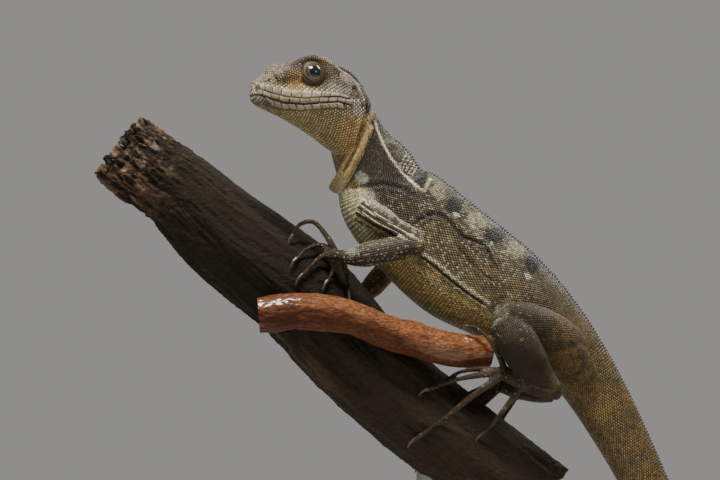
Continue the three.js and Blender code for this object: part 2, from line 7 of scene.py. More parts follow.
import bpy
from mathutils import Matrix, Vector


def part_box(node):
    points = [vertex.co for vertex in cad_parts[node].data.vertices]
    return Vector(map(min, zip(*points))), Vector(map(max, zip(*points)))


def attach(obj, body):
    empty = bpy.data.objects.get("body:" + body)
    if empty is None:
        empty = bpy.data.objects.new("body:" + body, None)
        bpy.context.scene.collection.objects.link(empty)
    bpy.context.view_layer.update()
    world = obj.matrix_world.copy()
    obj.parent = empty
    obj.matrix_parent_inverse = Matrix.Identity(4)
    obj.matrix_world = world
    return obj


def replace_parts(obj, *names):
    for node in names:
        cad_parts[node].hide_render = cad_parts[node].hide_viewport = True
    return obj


bl_info = {
    "name": "Brown basilisk",
    "version": (1, 0, 0),
    "blender": (4, 5, 0),
    "location": "View3D > Sidebar > Basilisk",
    "description": "Skin, scales, eyes, claws, branch and stand of a life-size basilisk model",
    "category": "Object",
}

import math
from itertools import product

import bpy
import numpy as np

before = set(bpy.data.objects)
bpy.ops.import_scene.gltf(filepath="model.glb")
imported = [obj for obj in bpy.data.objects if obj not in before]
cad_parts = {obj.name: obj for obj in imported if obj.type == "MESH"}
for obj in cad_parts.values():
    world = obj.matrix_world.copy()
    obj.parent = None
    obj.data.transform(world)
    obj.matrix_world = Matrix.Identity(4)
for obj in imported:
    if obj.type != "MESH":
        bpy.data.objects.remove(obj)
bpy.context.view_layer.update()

# Driving sizes, in millimetres
MM = 0.001
TURN = 2 * math.pi
SNOUT_TO_VENT = 138.0
HEAD_LENGTH = 0.275 * SNOUT_TO_VENT
TAIL_LENGTH = 2.25 * SNOUT_TO_VENT
TAIL_ROOT_RADIUS = 0.06 * SNOUT_TO_VENT
TAIL_CLEARANCE = 10.0
EYE_RADIUS = 0.095 * HEAD_LENGTH
BRANCH_RADIUS = 14.0
STEM_RADIUS = 5.0
BASE_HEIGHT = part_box("stand_base")[1].z / MM
BASE_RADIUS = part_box("stand_base")[1].x / MM
ROD_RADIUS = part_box("stand_rod")[1].x / MM
COAT_DEPTH = 0.12

HEAD_TURN, HEAD_LIFT, HEAD_TIP = (math.radians(angle) for angle in (33, 5, 8))
LEFT = np.array([0.0, -1.0, 0.0])
BACK = np.array([1.0, 0.0, 0.0])
UP = np.array([0.0, 0.0, 1.0])

# The photograph's frame: its scale, and the pixels of the vent, its middle and its size
PHOTO_PX_PER_MM = 3.4
PHOTO_VENT = (430, 362)
PHOTO_SIZE = (720, 480)


# Lines, sections and sweeps

# How far a loft's rounded end stands past its last ring, in shares of the ring's radius
END_BULGE = 0.4
# Distance from the line, in mm, under which a section isn't grown any more
LEAST_REACH = 0.2
# Powers that square off the head's section, above and at the sides
CROWN_POWER, CHEEK_POWER = 0.85, 0.8


def unit(vectors):
    """Each vector divided by its length."""
    return vectors / np.maximum(np.linalg.norm(vectors, axis=-1, keepdims=True), 1e-9)


def smooth(low, high, value):
    """0 below low, 1 above high, and 3s squared less 2s cubed in between."""
    share = np.clip((value - low) / (high - low), 0, 1)
    return share * share * (3 - 2 * share)


def through(points, t):
    """Place and direction on a smooth line through points at shares t.

    Each piece is a cubic whose knots are spaced by the square root of the distance between
    neighbours, with the ends carried on by their own mirror image.
    """
    points = np.asarray(points, float)
    padded = np.vstack([2 * points[0] - points[1], points, 2 * points[-1] - points[-2]])
    spot = np.clip(np.asarray(t, float), 0, 1) * (len(points) - 1)
    first = np.minimum(spot.astype(int), len(points) - 2)
    w = (spot - first)[..., None]
    p = [padded[first + k] for k in range(4)]
    d0, d1, d2 = (np.sqrt(np.linalg.norm(b - a, axis=-1, keepdims=True)) for a, b in zip(p, p[1:]))
    d1 = np.where(d1 < 1e-4, 1, d1)
    d0, d2 = np.where(d0 < 1e-4, d1, d0), np.where(d2 < 1e-4, d1, d2)
    m1 = ((p[1] - p[0]) / d0 - (p[2] - p[0]) / (d0 + d1) + (p[2] - p[1]) / d1) * d1
    m2 = ((p[2] - p[1]) / d1 - (p[3] - p[1]) / (d1 + d2) + (p[3] - p[2]) / d2) * d1
    c2 = 3 * (p[2] - p[1]) - 2 * m1 - m2
    c3 = 2 * (p[1] - p[2]) + m1 + m2
    return p[1] + w * (m1 + w * (c2 + w * c3)), m1 + w * (2 * c2 + 3 * w * c3)


def oval(angle, size):
    """Across is wide times the cosine, up is rise or drop times the sine."""
    s = np.sin(angle)
    return size[..., 0] * np.cos(angle), np.where(s > 0, size[..., 1], size[..., 2]) * s


def trunk_section(angle, size):
    """An oval drawn in by a fifth towards the back and let out towards the belly."""
    across, rise = oval(angle, size)
    return across * (1 - 0.2 * np.sin(angle)), rise


def cheek_taper(s):
    """Width of the head at a height s of -1 to 1: less above the middle, more below it."""
    return np.where(s > 0, 1 - 0.3 * s, 1 + 0.28 * s)


def skull_section(angle, size):
    """A flat top and upright cheeks: powers of the sine and cosine, times the cheek's taper."""
    c, s = np.cos(angle), np.sin(angle)
    rise = np.where(s > 0, size[..., 1] * np.abs(s) ** CROWN_POWER, size[..., 2] * s)
    return size[..., 0] * np.sign(c) * np.abs(c) ** CHEEK_POWER * cheek_taper(s), rise


def fold_section(angle, size):
    """A flat oval with a groove along its outer side, so that it reads as two folds."""
    across, rise = oval(angle, size)
    dent = 1 - 0.45 * np.exp(-((np.sin(angle) + 1) / 0.06) ** 2)
    return across * dent, rise * dent


def bark_section(angle, size):
    """A circle with low knots that wind along the branch."""
    knots = 1 + 0.025 * np.sin(5 * angle + 1) + 0.02 * np.sin(9 * angle + 0.6 * size[..., 0])
    return size[..., 0] * knots * np.cos(angle), size[..., 1] * knots * np.sin(angle)


def grid(shares, sides):
    """Every share with each of so many angles round a full turn, as two arrays."""
    return np.meshgrid(shares, TURN * np.arange(sides) / sides, indexing="ij")


def wrapped(wall, poles, rings, sides):
    """Points and triangles of a grid that closes round and at a pole past each end."""
    i, j = (a.ravel() for a in np.meshgrid(np.arange(rings - 1), np.arange(sides), indexing="ij"))
    a, b = i * sides + j, i * sides + (j + 1) % sides
    walls = np.stack([a, a + sides, b + sides, a, b + sides, b], -1).reshape(-1, 3)
    rim, last = np.arange(sides), (rings - 1) * sides
    onward, pole = np.roll(rim, -1), np.full(sides, len(wall))
    caps = [np.stack([pole, rim, onward], -1), np.stack([pole + 1, onward + last, rim + last], -1)]
    return np.vstack([wall, poles]), np.vstack([walls, *caps])


class Sweep:
    """A section carried along a line of stations (x, y, z, wide, rise, drop)."""

    def __init__(self, stations, side=LEFT, section=oval):
        table = np.array([[*row, *[row[-1]] * (6 - len(row))] for row in stations], float)
        self.line, self.sizes = table[:, :3], table[:, 3:]
        self.side, self.section = side, section

    def frame(self, t):
        """Place, direction, left, up and size at shares t of the line."""
        at, along = through(self.line, t)
        along = unit(along)
        left = unit(self.side - along * (along @ self.side)[..., None])
        return at, along, left, np.cross(left, along), through(self.sizes, t)[0]

    def point(self, t, angle, grow=0.0):
        """The surface at share t and angle: 0 is the left side, a quarter turn the top."""
        t, angle = np.broadcast_arrays(t, angle)
        at, _, left, up, size = self.frame(t)
        across, rise = self.section(angle, size)
        reach = 1 + grow / np.maximum(LEAST_REACH, np.hypot(across, rise))
        return at + left * (across * reach)[..., None] + up * (rise * reach)[..., None]

    def outward(self, t, angle):
        """Directions from the line out through shares t and angles."""
        _, _, left, up, _ = self.frame(t)
        return left * np.cos(angle)[:, None] + up * np.sin(angle)[:, None]

    def solid(self, rings, sides, grow=0.0):
        """Points, triangles, shares and angles of the closed loft, with a pole past each end."""
        t, angle = grid(np.linspace(0, 1, rings + 1), sides)
        at, along, _, _, size = self.frame(np.array([0.0, 1.0]))
        bulge = (END_BULGE * np.minimum(size[:, 0], size[:, 1]) + grow) * (-1, 1)
        wall = self.point(t, angle, grow).reshape(-1, 3)
        points, faces = wrapped(wall, at + along * bulge[:, None], rings + 1, sides)
        return points, faces, np.append(t, [0, 1]), np.append(angle, [0, 0])


# The animal's lines

# The tail's direction at each step, in degrees below the level and towards the right
TAIL_HEADINGS = [58, 66, 71, 77, 81, 80, 71, 57, 40, 24]
TAIL_SWAY = [0, -4, -9, -11, -8, -2, 5, 10, 13, 14]
TAIL_POWER, TAIL_TIP_RADIUS = 1.8, 0.45


def tail_radius(share):
    """Root radius times the rest of the length to a power, running out to a whip."""
    return TAIL_ROOT_RADIUS * (1 - share) ** TAIL_POWER + TAIL_TIP_RADIUS


def tail_stations(vent):
    """Stations that each go one step on, along their heading and a small sway."""
    dip, sway = np.radians(TAIL_HEADINGS), np.radians(TAIL_SWAY)
    step = TAIL_LENGTH / len(dip)
    steps = np.stack([
        np.cos(dip) * np.cos(sway), np.cos(dip) * np.sin(sway) + 0.25 * np.sin(sway), -np.sin(dip),
    ], -1)
    radius = tail_radius(np.arange(1, len(dip) + 1) / len(dip))
    line = vent + step * np.cumsum(steps, axis=0)
    return np.column_stack([line, 0.84 * radius, radius, radius]).tolist()


VENT = np.array([42.0, 0.0, 0.0])
TAIL_DROP = -min(row[2] for row in tail_stations(VENT))
VENT_HEIGHT = BASE_HEIGHT + TAIL_CLEARANCE + TAIL_DROP


def raised(stations):
    """Stations with heights above the vent, raised to heights above the floor."""
    return [[x, y, z + VENT_HEIGHT, *size] for x, y, z, *size in stations]


BODY_STATIONS = [
    [-24.5, -1.5, 75, 5.5, 6, 6], [-22.6, -1, 69.5, 6.2, 7.8, 7.8], [-20.3, -0.5, 62.4, 6.4, 9.6, 9],
    [-16.8, 0, 55.6, 7.6, 12.2, 11], [-13.5, 0, 47.6, 9.6, 15, 13.4], [-5.6, 0, 39.4, 11, 16.8, 15],
    [7.1, 0, 27.9, 12.2, 17.6, 15.6], [19.7, 0, 19.1, 11.4, 16.6, 13.5],
    [31.8, 0, 10, 9.4, 13.6, 10.8], [42, 0, 0, 7.6, 10.3, 8.8],
]
SPINE = Sweep(raised([*BODY_STATIONS, *tail_stations(VENT)]), section=trunk_section)
SPINE_STEPS = len(BODY_STATIONS) + len(TAIL_HEADINGS) - 1
VENT_STATION = len(BODY_STATIONS) - 1

# The head's own axes: forward, left and up, from the snout's tip
SNOUT = np.array([-52, -19.6, 77.8 + VENT_HEIGHT])
HEAD_FORWARD = np.array([
    -math.cos(HEAD_TURN) * math.cos(HEAD_LIFT),
    -math.sin(HEAD_TURN) * math.cos(HEAD_LIFT),
    math.sin(HEAD_LIFT),
])
HEAD_LEVEL = np.array([math.sin(HEAD_TURN), -math.cos(HEAD_TURN), 0.0])
HEAD_LEFT = HEAD_LEVEL * math.cos(HEAD_TIP) + np.cross(HEAD_FORWARD, HEAD_LEVEL) * math.sin(HEAD_TIP)
HEAD_UP = np.cross(HEAD_FORWARD, HEAD_LEFT)


def in_head(back, out, up):
    """A point of the head, given back from the snout, out to the left and up from the mouth."""
    back, out, up = np.broadcast_arrays(back, out, up)
    return SNOUT - back[..., None] * HEAD_FORWARD + out[..., None] * HEAD_LEFT + up[..., None] * HEAD_UP


def head_place(points):
    """Back, out and up of points, the reverse of in_head."""
    away = points - SNOUT
    return -away @ HEAD_FORWARD, away @ HEAD_LEFT, away @ HEAD_UP


def head_stations(stations):
    """Stations given on the head's axes, placed on the model's."""
    return [[*in_head(back, out, up), *size] for back, out, up, *size in stations]


SKULL_STATIONS = [
    [0.4, 0, 0.5, 1.9, 3, 1.5], [1.4, 0, 0, 3.1, 5.5, 2.2], [3.6, 0, -0.7, 4.1, 7.5, 2.6],
    [7, 0, -1.2, 5.1, 8.8, 3.1], [11, 0, -1.4, 6.2, 10.8, 4.1], [15, 0, -1.4, 7.4, 12.4, 5.6],
    [19, 0, -1.2, 8.5, 13, 7.7], [24, 0, -0.8, 9.6, 12.7, 10.9], [28.5, 0, -0.4, 10, 11.6, 13.8],
    [32.5, 0, 0, 9.2, 9.7, 15], [36, 0, 0, 7.2, 7, 12.5], [38.6, 0, 0, 4.6, 4.4, 8.5],
]
SKULL = Sweep(head_stations(SKULL_STATIONS), side=HEAD_LEFT, section=skull_section)
EYE_BACK, EYE_OUT, EYE_UP = 0.45 * HEAD_LENGTH, 5.2, 7.3
MOUTH_LINE = [
    [-2, 0.1], [1.5, -0.3], [4, -1.2], [8, -2.1], [14, -2.3], [19, -1.6], [24, -1], [29, -1.7],
]
HEAD_CREST = Sweep(head_stations([
    [24.6, 0, 7.4, 0.8, 1.2, 3], [27, 0, 8.8, 0.9, 2.2, 3.4], [30, 0, 9.2, 1, 3, 4],
    [33.2, 0, 8, 1, 3.2, 4.6], [35.8, 0, 5.6, 1, 3.1, 4.8], [37.6, 0, 2.8, 1, 3, 4.6],
    [38.4, 0, 0, 0.9, 2.8, 4], [37.8, 0, -2.4, 0.8, 2.2, 3],
]), side=HEAD_LEFT)


def brow(way):
    """A ridge from the nostril over the eye to the temple."""
    return Sweep(head_stations([
        [6, 3 * way, 5.9, 0.5], [9, 4.2 * way, 7.8, 0.8], [12, 5.2 * way, 9.8, 1],
        [15.5, 6.1 * way, 11.5, 1.1], [19, 6.6 * way, 11.7, 1.1], [22.5, 6.9 * way, 10.4, 1],
        [26, 7.4 * way, 8.3, 0.7],
    ]))


FOLD_NEAR = [
    [-17.4, 5.2, 69.4, 0.8], [-20.8, 6.8, 63, 1.2], [-23.8, 6.5, 57.6, 1.5], [-26, 4.2, 53.4, 1.8],
]
FOLD_FAR = [[x, -y, z, size] for x, y, z, size in reversed(FOLD_NEAR)]
THROAT_FOLD = Sweep(raised([
    [x, y, z, 1.45 * size, size] for x, y, z, size in (*FOLD_NEAR, [-27, 0, 51.4, 2], *FOLD_FAR)
]), side=BACK, section=fold_section)

BRANCH_LINE = [
    [-91.5, 0, 63.4, 0.78], [-84, 0, 57.4, 0.8], [-74.1, 0, 50, 0.84], [-60.6, 0, 37.4, 0.97],
    [-37.6, 0, 19.4, 1.06], [-21.8, 0, 2.1, 1], [-3.8, 0, -14.7, 0.96], [16.2, 0, -29.7, 0.93],
    [32.4, 0, -41.5, 0.9],
]
BRANCH = Sweep(raised([[x, y, z, s * BRANCH_RADIUS] for x, y, z, s in BRANCH_LINE]), section=bark_section)
STEM_LINE = [
    [-50, -19.6, 14.2, 1.1], [-38, -19.3, 15.2, 1.08], [-22, -17.6, 13, 1], [-8, -15.6, 7.6, 0.98],
    [6, -12.6, 4.2, 0.96], [17.2, -10, 3.4, 0.92],
]
STEM = Sweep(raised([[x, y, z, s * STEM_RADIUS] for x, y, z, s in STEM_LINE]))

LIMBS = {
    "upper_arm_left": [
        [-19, -6, 45, 4.2], [-14.7, -9.6, 42, 3.5], [-9, -13.4, 39, 2.7], [-3.6, -16.4, 36, 2.6],
    ],
    "forearm_left": [
        [-2.4, -17, 35, 2.5], [-8.8, -17.4, 33.7, 3.6], [-17.9, -16.6, 31.8, 3.7], [-22, -15.6, 31, 2.9],
        [-25, -14.6, 30.8, 1.9],
    ],
    "upper_arm_right": [
        [-18, 6, 43, 4.2], [-14.5, 10, 39.5, 3.5], [-11.4, 14.2, 36, 2.8], [-8.6, 17.4, 32.8, 2.6],
    ],
    "forearm_right": [
        [-8, 18, 32, 2.5], [-11.6, 18, 28, 3.5], [-16.4, 17, 22.6, 3.4], [-19.6, 15.6, 19.4, 2.5],
        [-21.6, 14.6, 17.6, 1.9],
    ],
    "thigh_left": [[40, -3, 3.6, 6.6], [35, -9.5, 7.4, 7.2], [27.6, -16, 11.6, 6.2], [19.8, -21.4, 14, 4]],
    "shin_left": [
        [20, -22, 12.2, 4], [24.4, -22.2, 6.8, 6], [28.4, -21.4, 0.8, 5.6], [33, -20, -4.8, 3.4],
        [36, -19.4, -7.6, 2.6],
    ],
    "thigh_right": [[40, 3, 3.6, 6.6], [36, 9.5, 6.8, 7.2], [29.6, 16, 10, 6.2], [22.4, 21, 11.8, 4]],
    "shin_right": [
        [22.4, 21.8, 10.4, 4], [26.6, 22, 4.6, 6], [30.2, 21, -1.6, 5.6], [34, 19.6, -7, 3.4],
        [36, 19, -9.6, 2.6],
    ],
}
PALMS = {
    "hand_left": [[-24.2, -14.8, 31.2, 1.7], [-26.2, -13.8, 31.4, 2.3, 1.7], [-28.2, -12.6, 31.2, 2.1, 1.4]],
    "hand_right": [[-21, 15, 18.4, 1.8], [-23, 15, 17, 2.2, 1.6], [-25, 15, 16, 2, 1.4]],
    "foot_left": [
        [37.4, -19.2, -8.2, 2.4], [32.6, -18.6, -7.2, 3.1, 2.9], [27, -17.8, -5, 3.2, 3],
        [21.8, -17, -3, 2.7, 2.2],
    ],
    "foot_right": [
        [37, 18.6, -10.2, 2.4], [32.6, 18, -9.8, 3.1, 2.9], [27, 17.4, -8.8, 3.2, 3],
        [21.6, 17, -7.4, 2.7, 2.2],
    ],
}
# A digit's root, joints and thickness. A joint is [x, z, lift off the branch], seen from the
# side, or [x, z, None, y] free in the air.
DIGITS = {
    "hand_left": [
        ([-26.2, -14, 30.6], [[-28, 28, 3], [-29, 25.6, 1.3], [-30.4, 23.4, 0.8]], 0.95),
        ([-28, -13, 31], [[-31, 31.4, 2.4], [-34.4, 28.8, 1.6], [-37.8, 25.2, 0.8]], 0.98),
        ([-28.4, -12.2, 31.6], [[-31.8, 34.4, 2.8], [-36, 33.4, 1.6], [-39.4, 30, 0.8]], 0.98),
        ([-27.6, -11.8, 32.2],
         [[-30.6, 37.4, None, -11], [-34.4, 41.2, None, -10], [-38.2, 40.4, None, -9.6],
          [-40.6, 36.6, None, -10.4]], 0.98),
        ([-25.6, -12.6, 31], [[-24.6, 26.4, 2.4], [-24, 23, 1.2], [-23.8, 20, 0.8]], 0.85),
    ],
    "hand_right": [
        ([-24, 15.4, 17], [[-27, 20, 1.8], [-29.6, 22.4, 1], [-32, 24.6, 0.8]], 0.95),
        ([-25, 15, 16.6], [[-29, 18, 1.8], [-33, 19.6, 1], [-36.6, 21, 0.8]], 0.98),
        ([-25.4, 15, 16], [[-30, 14.6, 1.8], [-34.6, 14, 1], [-38.6, 13, 0.8]], 0.98),
        ([-25, 15, 15.4], [[-29, 11, 1.8], [-32.6, 8, 1], [-35, 5, 0.8]], 0.98),
        ([-23, 15, 15.4], [[-23.6, 10.6, 1.8], [-24.4, 7, 1], [-25.4, 3.4, 0.8]], 0.85),
    ],
    "foot_left": [
        ([21.6, -17.6, -2],
         [[19, 3.6, None, -17.8], [16.4, 7.6, None, -17.4], [12.8, 10.6, None, -15.8],
          [10.2, 10.6, None, -13.8]], 0.95),
        ([20.6, -17, -2.2], [[14, -1.6, None, -16], [8.5, -2.6, None, -14], [3, -6, 0.9]], 1),
        ([20.2, -17.4, -2.4], [[12, -3.6, None, -17.5], [5, -5.6, 4.2], [-1.4, -8, 0.9]], 1.05),
        ([20.4, -17.6, -3.4], [[12, -9.4, None, -18.5], [4.4, -15.6, 2.2], [-5, -22.6, 0.9]], 1.1),
        ([25.6, -18, -7.4], [[21, -13.4, None, -19], [17.4, -18.4, 4.5], [14.4, -21.2, 0.9]], 0.95),
    ],
    "foot_right": [
        ([21.2, 16.6, -6], [[14, -9, None, 17], [7, -12, 3.5], [1, -13, 0.9]], 0.95),
        ([20.6, 16.8, -6.8], [[13, -12, None, 18], [4, -16, 2.5], [-4, -18, 0.9]], 1),
        ([20.4, 17, -7.6], [[12, -14, None, 18], [3, -20, 2.5], [-6, -23, 0.9]], 1.05),
        ([20.6, 17.2, -8.4], [[12, -17, None, 18.5], [4, -25, 2.5], [-3, -31, 0.9]], 1.1),
        ([26.6, 17.4, -9.6], [[22, -17, None, 18.5], [19, -23, 3], [17, -29, 0.9]], 0.95),
    ],
}


def on_branch(x, z, way, lift):
    """The spot off the branch's surface that is seen at x and z from the side.

    Its depth is the leg of a right triangle whose long side is the branch's radius plus lift.
    """
    at, _, _, _, size = BRANCH.frame(np.linspace(0, 1, 201))
    away = np.hypot(at[:, 0] - x, at[:, 2] - VENT_HEIGHT - z)
    nearest = away.argmin()
    reach = size[nearest, 0] + lift
    return [x, way * math.sqrt(max(0.0, reach ** 2 - away[nearest] ** 2)), z]


def digit_stations(limb, root, joints, thick):
    """The digit's line with swelling knuckles, thinning by four tenths to its tip."""
    way = -1 if limb.endswith("left") else 1
    placed = [
        [x, rest[0], z] if lift is None else on_branch(x, z, way, lift) for x, z, lift, *rest in joints
    ]
    line = [root, *placed]
    last = len(line) - 1
    swell = [1.25] + [1.08 if i % 2 else 0.95 for i in range(1, last + 1)]
    return [[*point, thick * (1 - 0.4 * i / last) * swell[i]] for i, point in enumerate(line)]


# A claw's radii, and how far ahead of the digit's tip and under it each lies
CLAW_RADII = [0.55, 0.45, 0.14]
CLAW_REACH = [-0.8, 0.9, 2.3]
CLAW_DROP = [-0.15, -0.25, 0.7]


def claw_stations(stations):
    """A hooked cone that leaves the digit's tip in its own direction and bends down."""
    tip, ahead = np.array(stations[-1][:3]), unit(np.subtract(stations[-1][:3], stations[-2][:3]))
    return [
        [*(tip + ahead * reach - UP * drop), radius]
        for radius, reach, drop in zip(CLAW_RADII, CLAW_REACH, CLAW_DROP)
    ]


DIGIT_LINES = {
    f"{limb}_{i + 1}": digit_stations(limb, *digit)
    for limb, digits in DIGITS.items() for i, digit in enumerate(digits)
}

NOSE_HUMP = Sweep(head_stations([
    [1.2, 0, 1.8, 2.2, 2.4, 1.5], [3.4, 0, 3.2, 2.8, 2.4, 2], [5.4, 0, 4.9, 3, 2.2, 2.2],
    [7.4, 0, 7.7, 3.2, 2.1, 2.4], [10.4, 0, 8.8, 3.4, 1.9, 2.6], [13, 0, 9, 3, 1.5, 2.4],
    [15.4, 0, 9.2, 2.6, 1.1, 2],
]), side=HEAD_LEFT)


def orbit(way):
    """The swelling round an eye, which joins the brow to the cheek."""
    return Sweep(head_stations([
        [6.6, 2.4 * way, 5.4, 1.8, 2.2, 2.2], [9, 3.1 * way, 6.4, 2.4, 3, 2.6],
        [11.8, 3.6 * way, 7.1, 2.8, 3.4, 3], [14.5, 4 * way, 7.5, 3, 3.9, 3.4],
        [18.6, 4.4 * way, 7.9, 3.3, 4.1, 3.8], [22.4, 4.8 * way, 7.4, 3, 3.6, 3.4],
        [25.6, 5.2 * way, 6.4, 2.2, 2.6, 2.4],
    ]), side=HEAD_LEFT)


def haunch(way):
    """The muscle that runs from the thigh to the root of the tail."""
    return Sweep(raised([
        [31, 10.5 * way, 9, 5.4], [38, 7 * way, 3.4, 6.6], [44, 4 * way, -4.4, 5.6],
        [49, 1.6 * way, -13, 4.4],
    ]))


# Flesh: name, sweep, rings, sides and the kind of hide on it
FLESH = [
    ("nose_hump", NOSE_HUMP, 30, 24, "head"),
    ("orbit_left", orbit(1), 40, 32, "head"),
    ("orbit_right", orbit(-1), 40, 32, "head"),
    ("haunch_left", haunch(-1), 40, 40, "limb"),
    ("haunch_right", haunch(1), 40, 40, "limb"),
    ("body", SPINE, 640, 96, "body"),
    ("skull", SKULL, 96, 80, "head"),
    ("crest", HEAD_CREST, 40, 24, "crest"),
    ("brow_left", brow(1), 40, 16, "head"),
    ("brow_right", brow(-1), 40, 16, "head"),
    ("throat_fold", THROAT_FOLD, 60, 20, "fold"),
    *[(name, Sweep(raised(line)), 48, 40, "limb") for name, line in LIMBS.items()],
    *[(name, Sweep(raised(line)), 30, 32, "paw") for name, line in PALMS.items()],
    *[(name, Sweep(raised(line)), 48, 16, "digit") for name, line in DIGIT_LINES.items()],
]


# Cloudy noise and distances to drawn lines

def mottle(points, grain, seed, octaves=3):
    """Cloudy noise of about -1 to 1: seeded values on a lattice of grain mm, blended, in octaves."""
    table = np.random.default_rng(seed).uniform(-1, 1, (32, 32, 32))
    total = np.zeros(points.shape[:-1])
    for octave in range(octaves):
        spot = points / grain * 2 ** octave
        cell = np.floor(spot).astype(int)
        w = smooth(0, 1, spot - cell)
        for corner in product((0, 1), repeat=3):
            share = np.prod(np.where(corner, w, 1 - w), axis=-1)
            total += share * table[tuple(np.moveaxis((cell + corner) % 32, -1, 0))] / 2 ** octave
    return total


def off_line(a, b, line):
    """Distance of places (a, b) from a drawn line, and the share of the line at its nearest spot."""
    line = np.asarray(line, float)
    place = np.stack(np.broadcast_arrays(a, b), -1)
    best = np.full(place.shape[:-1], 1e9)
    share = np.zeros_like(best)
    for i, (start, end) in enumerate(zip(line, line[1:])):
        step = end - start
        s = np.clip(((place - start) @ step) / (step @ step), 0, 1)
        away = np.linalg.norm(place - start - s[..., None] * step, axis=-1)
        nearer = away < best
        best, share = np.where(nearer, away, best), np.where(nearer, (i + s) / (len(line) - 1), share)
    return best, share


def off_spot(a, b, spot):
    """Distance of places (a, b) from a spot's middle, in shares of its width and height."""
    return np.hypot((a - spot[0]) / spot[2], (b - spot[1]) / spot[3])


def past_line(a, b, line):
    """How far in a places (a, b) lie past a drawn line that runs down in b."""
    return a - np.interp(-b, [-spot[1] for spot in line], [spot[0] for spot in line])


# Lines on the side of the body, as x and height above the vent
SIDE_STRIPE = [
    [-16.2, 71.4], [-15.3, 68], [-13.8, 64.1], [-11.4, 59.8], [-8.4, 55.8], [-5, 52.6], [-1.8, 49.9],
]
CROSS_BAR = [[-1.9, 49.9], [0.2, 54.4]]
SIDE_FOLD = [[-4, 31.8], [-0.1, 29], [4.6, 25.1], [9.4, 21.3], [14.1, 18], [17.2, 16]]
SHOULDER_FOLD = [
    [-6.4, 39.6], [-0.9, 43.2], [1.5, 43.6], [3.8, 42.8], [7, 40.1], [9.4, 36.9], [12.9, 35.7],
    [16.4, 34.1], [18, 30.2], [21.4, 25.6],
]
FLANK_FOLD = [[6.6, 35.6], [11, 30.4], [15.4, 26], [20, 22.6]]
NECK_FOLD = [[-24, 51], [-19.1, 51.9], [-14, 52.3], [-6.8, 50.6], [-3.4, 47.4]]
THROAT_EDGE = [
    [-16.6, 73], [-17.1, 71.3], [-17.9, 68.8], [-19.1, 65.3], [-20.3, 62.1], [-22.1, 58.2], [-24.1, 55.3],
    [-25.9, 49.4],
]
THROAT_GROOVE = [[x - 2.2, z - 0.6] for x, z in THROAT_EDGE[1:-1]]
# Creases: line, how dark and wide their painted shade is drawn, how deep and wide they are cut
CREASES = [
    (SIDE_FOLD, 0.75, 0.28, 0.5, 0.4), (SHOULDER_FOLD, 0.8, 0.5, 0.55, 0.55),
    (NECK_FOLD, 0.7, 0.45, 0.35, 0.6), (FLANK_FOLD, 0.5, 0.3, 0.3, 0.5),
    (THROAT_GROOVE, 0.6, 0.4, 0.9, 0.6),
]
# Spots on the side of the body, as x and height of the middle, half width and half height
SADDLES = [[-2.9, 54.6, 2.2, 2.8], [7, 46, 2.9, 2.7], [18.8, 37.4, 3, 2.5], [29.9, 29, 2.3, 2.6]]
SADDLE_SPOTS = [[7.6, 43.1, 1.5, 0.7], [17, 34.6, 1.5, 0.7], [28.5, 25.5, 1.5, 0.7]]
PALE_BACK = [[2.4, 50.4, 2.4, 2.6], [13.4, 41.6, 3, 2.2], [24.6, 33, 3, 2.2]]
NECK_PATCH = [-20.3, 54.4, 1.9, 1.9]
# Middles of fading spots there, with how much wider and taller than round they are
CHEST_SPOT = [-23, 43, 1, 1.3]
WRIST_SPOT = [-22.8, 32.8, 1, 1]
ELBOW_SPOT = [-1.8, 34.5, 1, 1]
# The knee's spot is a painted highlight
KNEE_GLEAM = [20, 15.6, 1, 1]
# Middle of the streaks on the neck
NECK_STREAKS = [-6, 58.2]

# Lines and spots on the side of the head, as back from the snout and up from the mouth
CREST_EDGE = [[21, 12.4], [23.7, 11.2], [28, 10], [31.1, 7.9], [32.3, 4], [33.4, 0], [34, -4]]
LIP_STRIPE = [
    [0.2, 3.2], [3, 3], [6, 2.5], [10, 1.9], [14, 1.9], [18, 2], [22, 1.9], [26, 1.3], [30, -0.4],
]
CHEEK_SPOT = [24.6, 2.6, 1.7, 1]
EAR_SPOT = [31.2, -2.3, 1.5, 1]
JAW_SPOT = [33, -8.5, 1.4, 1.2]
BROW_SPOT = [20.6, 11.6, 1.2, 1]


# Markings: colour as red, green and blue of light

# Share of a drawn line over which each of its ends fades
FADING_END = 0.06


def varied(colour, amount):
    """A colour made lighter and darker by amount."""
    return np.array(colour) * amount[..., None]


def blend(base, colour, amount):
    """Base moved towards colour by amount."""
    return base + (np.asarray(colour, float) - base) * np.clip(amount, 0, 1)[..., None]


def painted(tint, marks):
    """A tint with marks laid over one another in turn, each a colour and its amount."""
    for colour, amount in marks:
        tint = blend(tint, colour, amount)
    return tint


def dabs(colour, points, spots, strength, rough):
    """Marks for oval spots on the side of the body, with roughened edges."""
    x, z = points[..., 0], points[..., 2] - VENT_HEIGHT
    return [(colour, strength * smooth(1.15, 0.85, off_spot(x, z, spot) + rough)) for spot in spots]


def drawn(colour, points, line, strength, width, rough):
    """A mark for a drawn line on the side of the body, fading over its ends."""
    away, run = off_line(points[..., 0], points[..., 2] - VENT_HEIGHT, line)
    ends = smooth(0, FADING_END, run) * smooth(1, 1 - FADING_END, run)
    return colour, strength * ends * smooth(1.5 * width, 0.5 * width, away + rough)


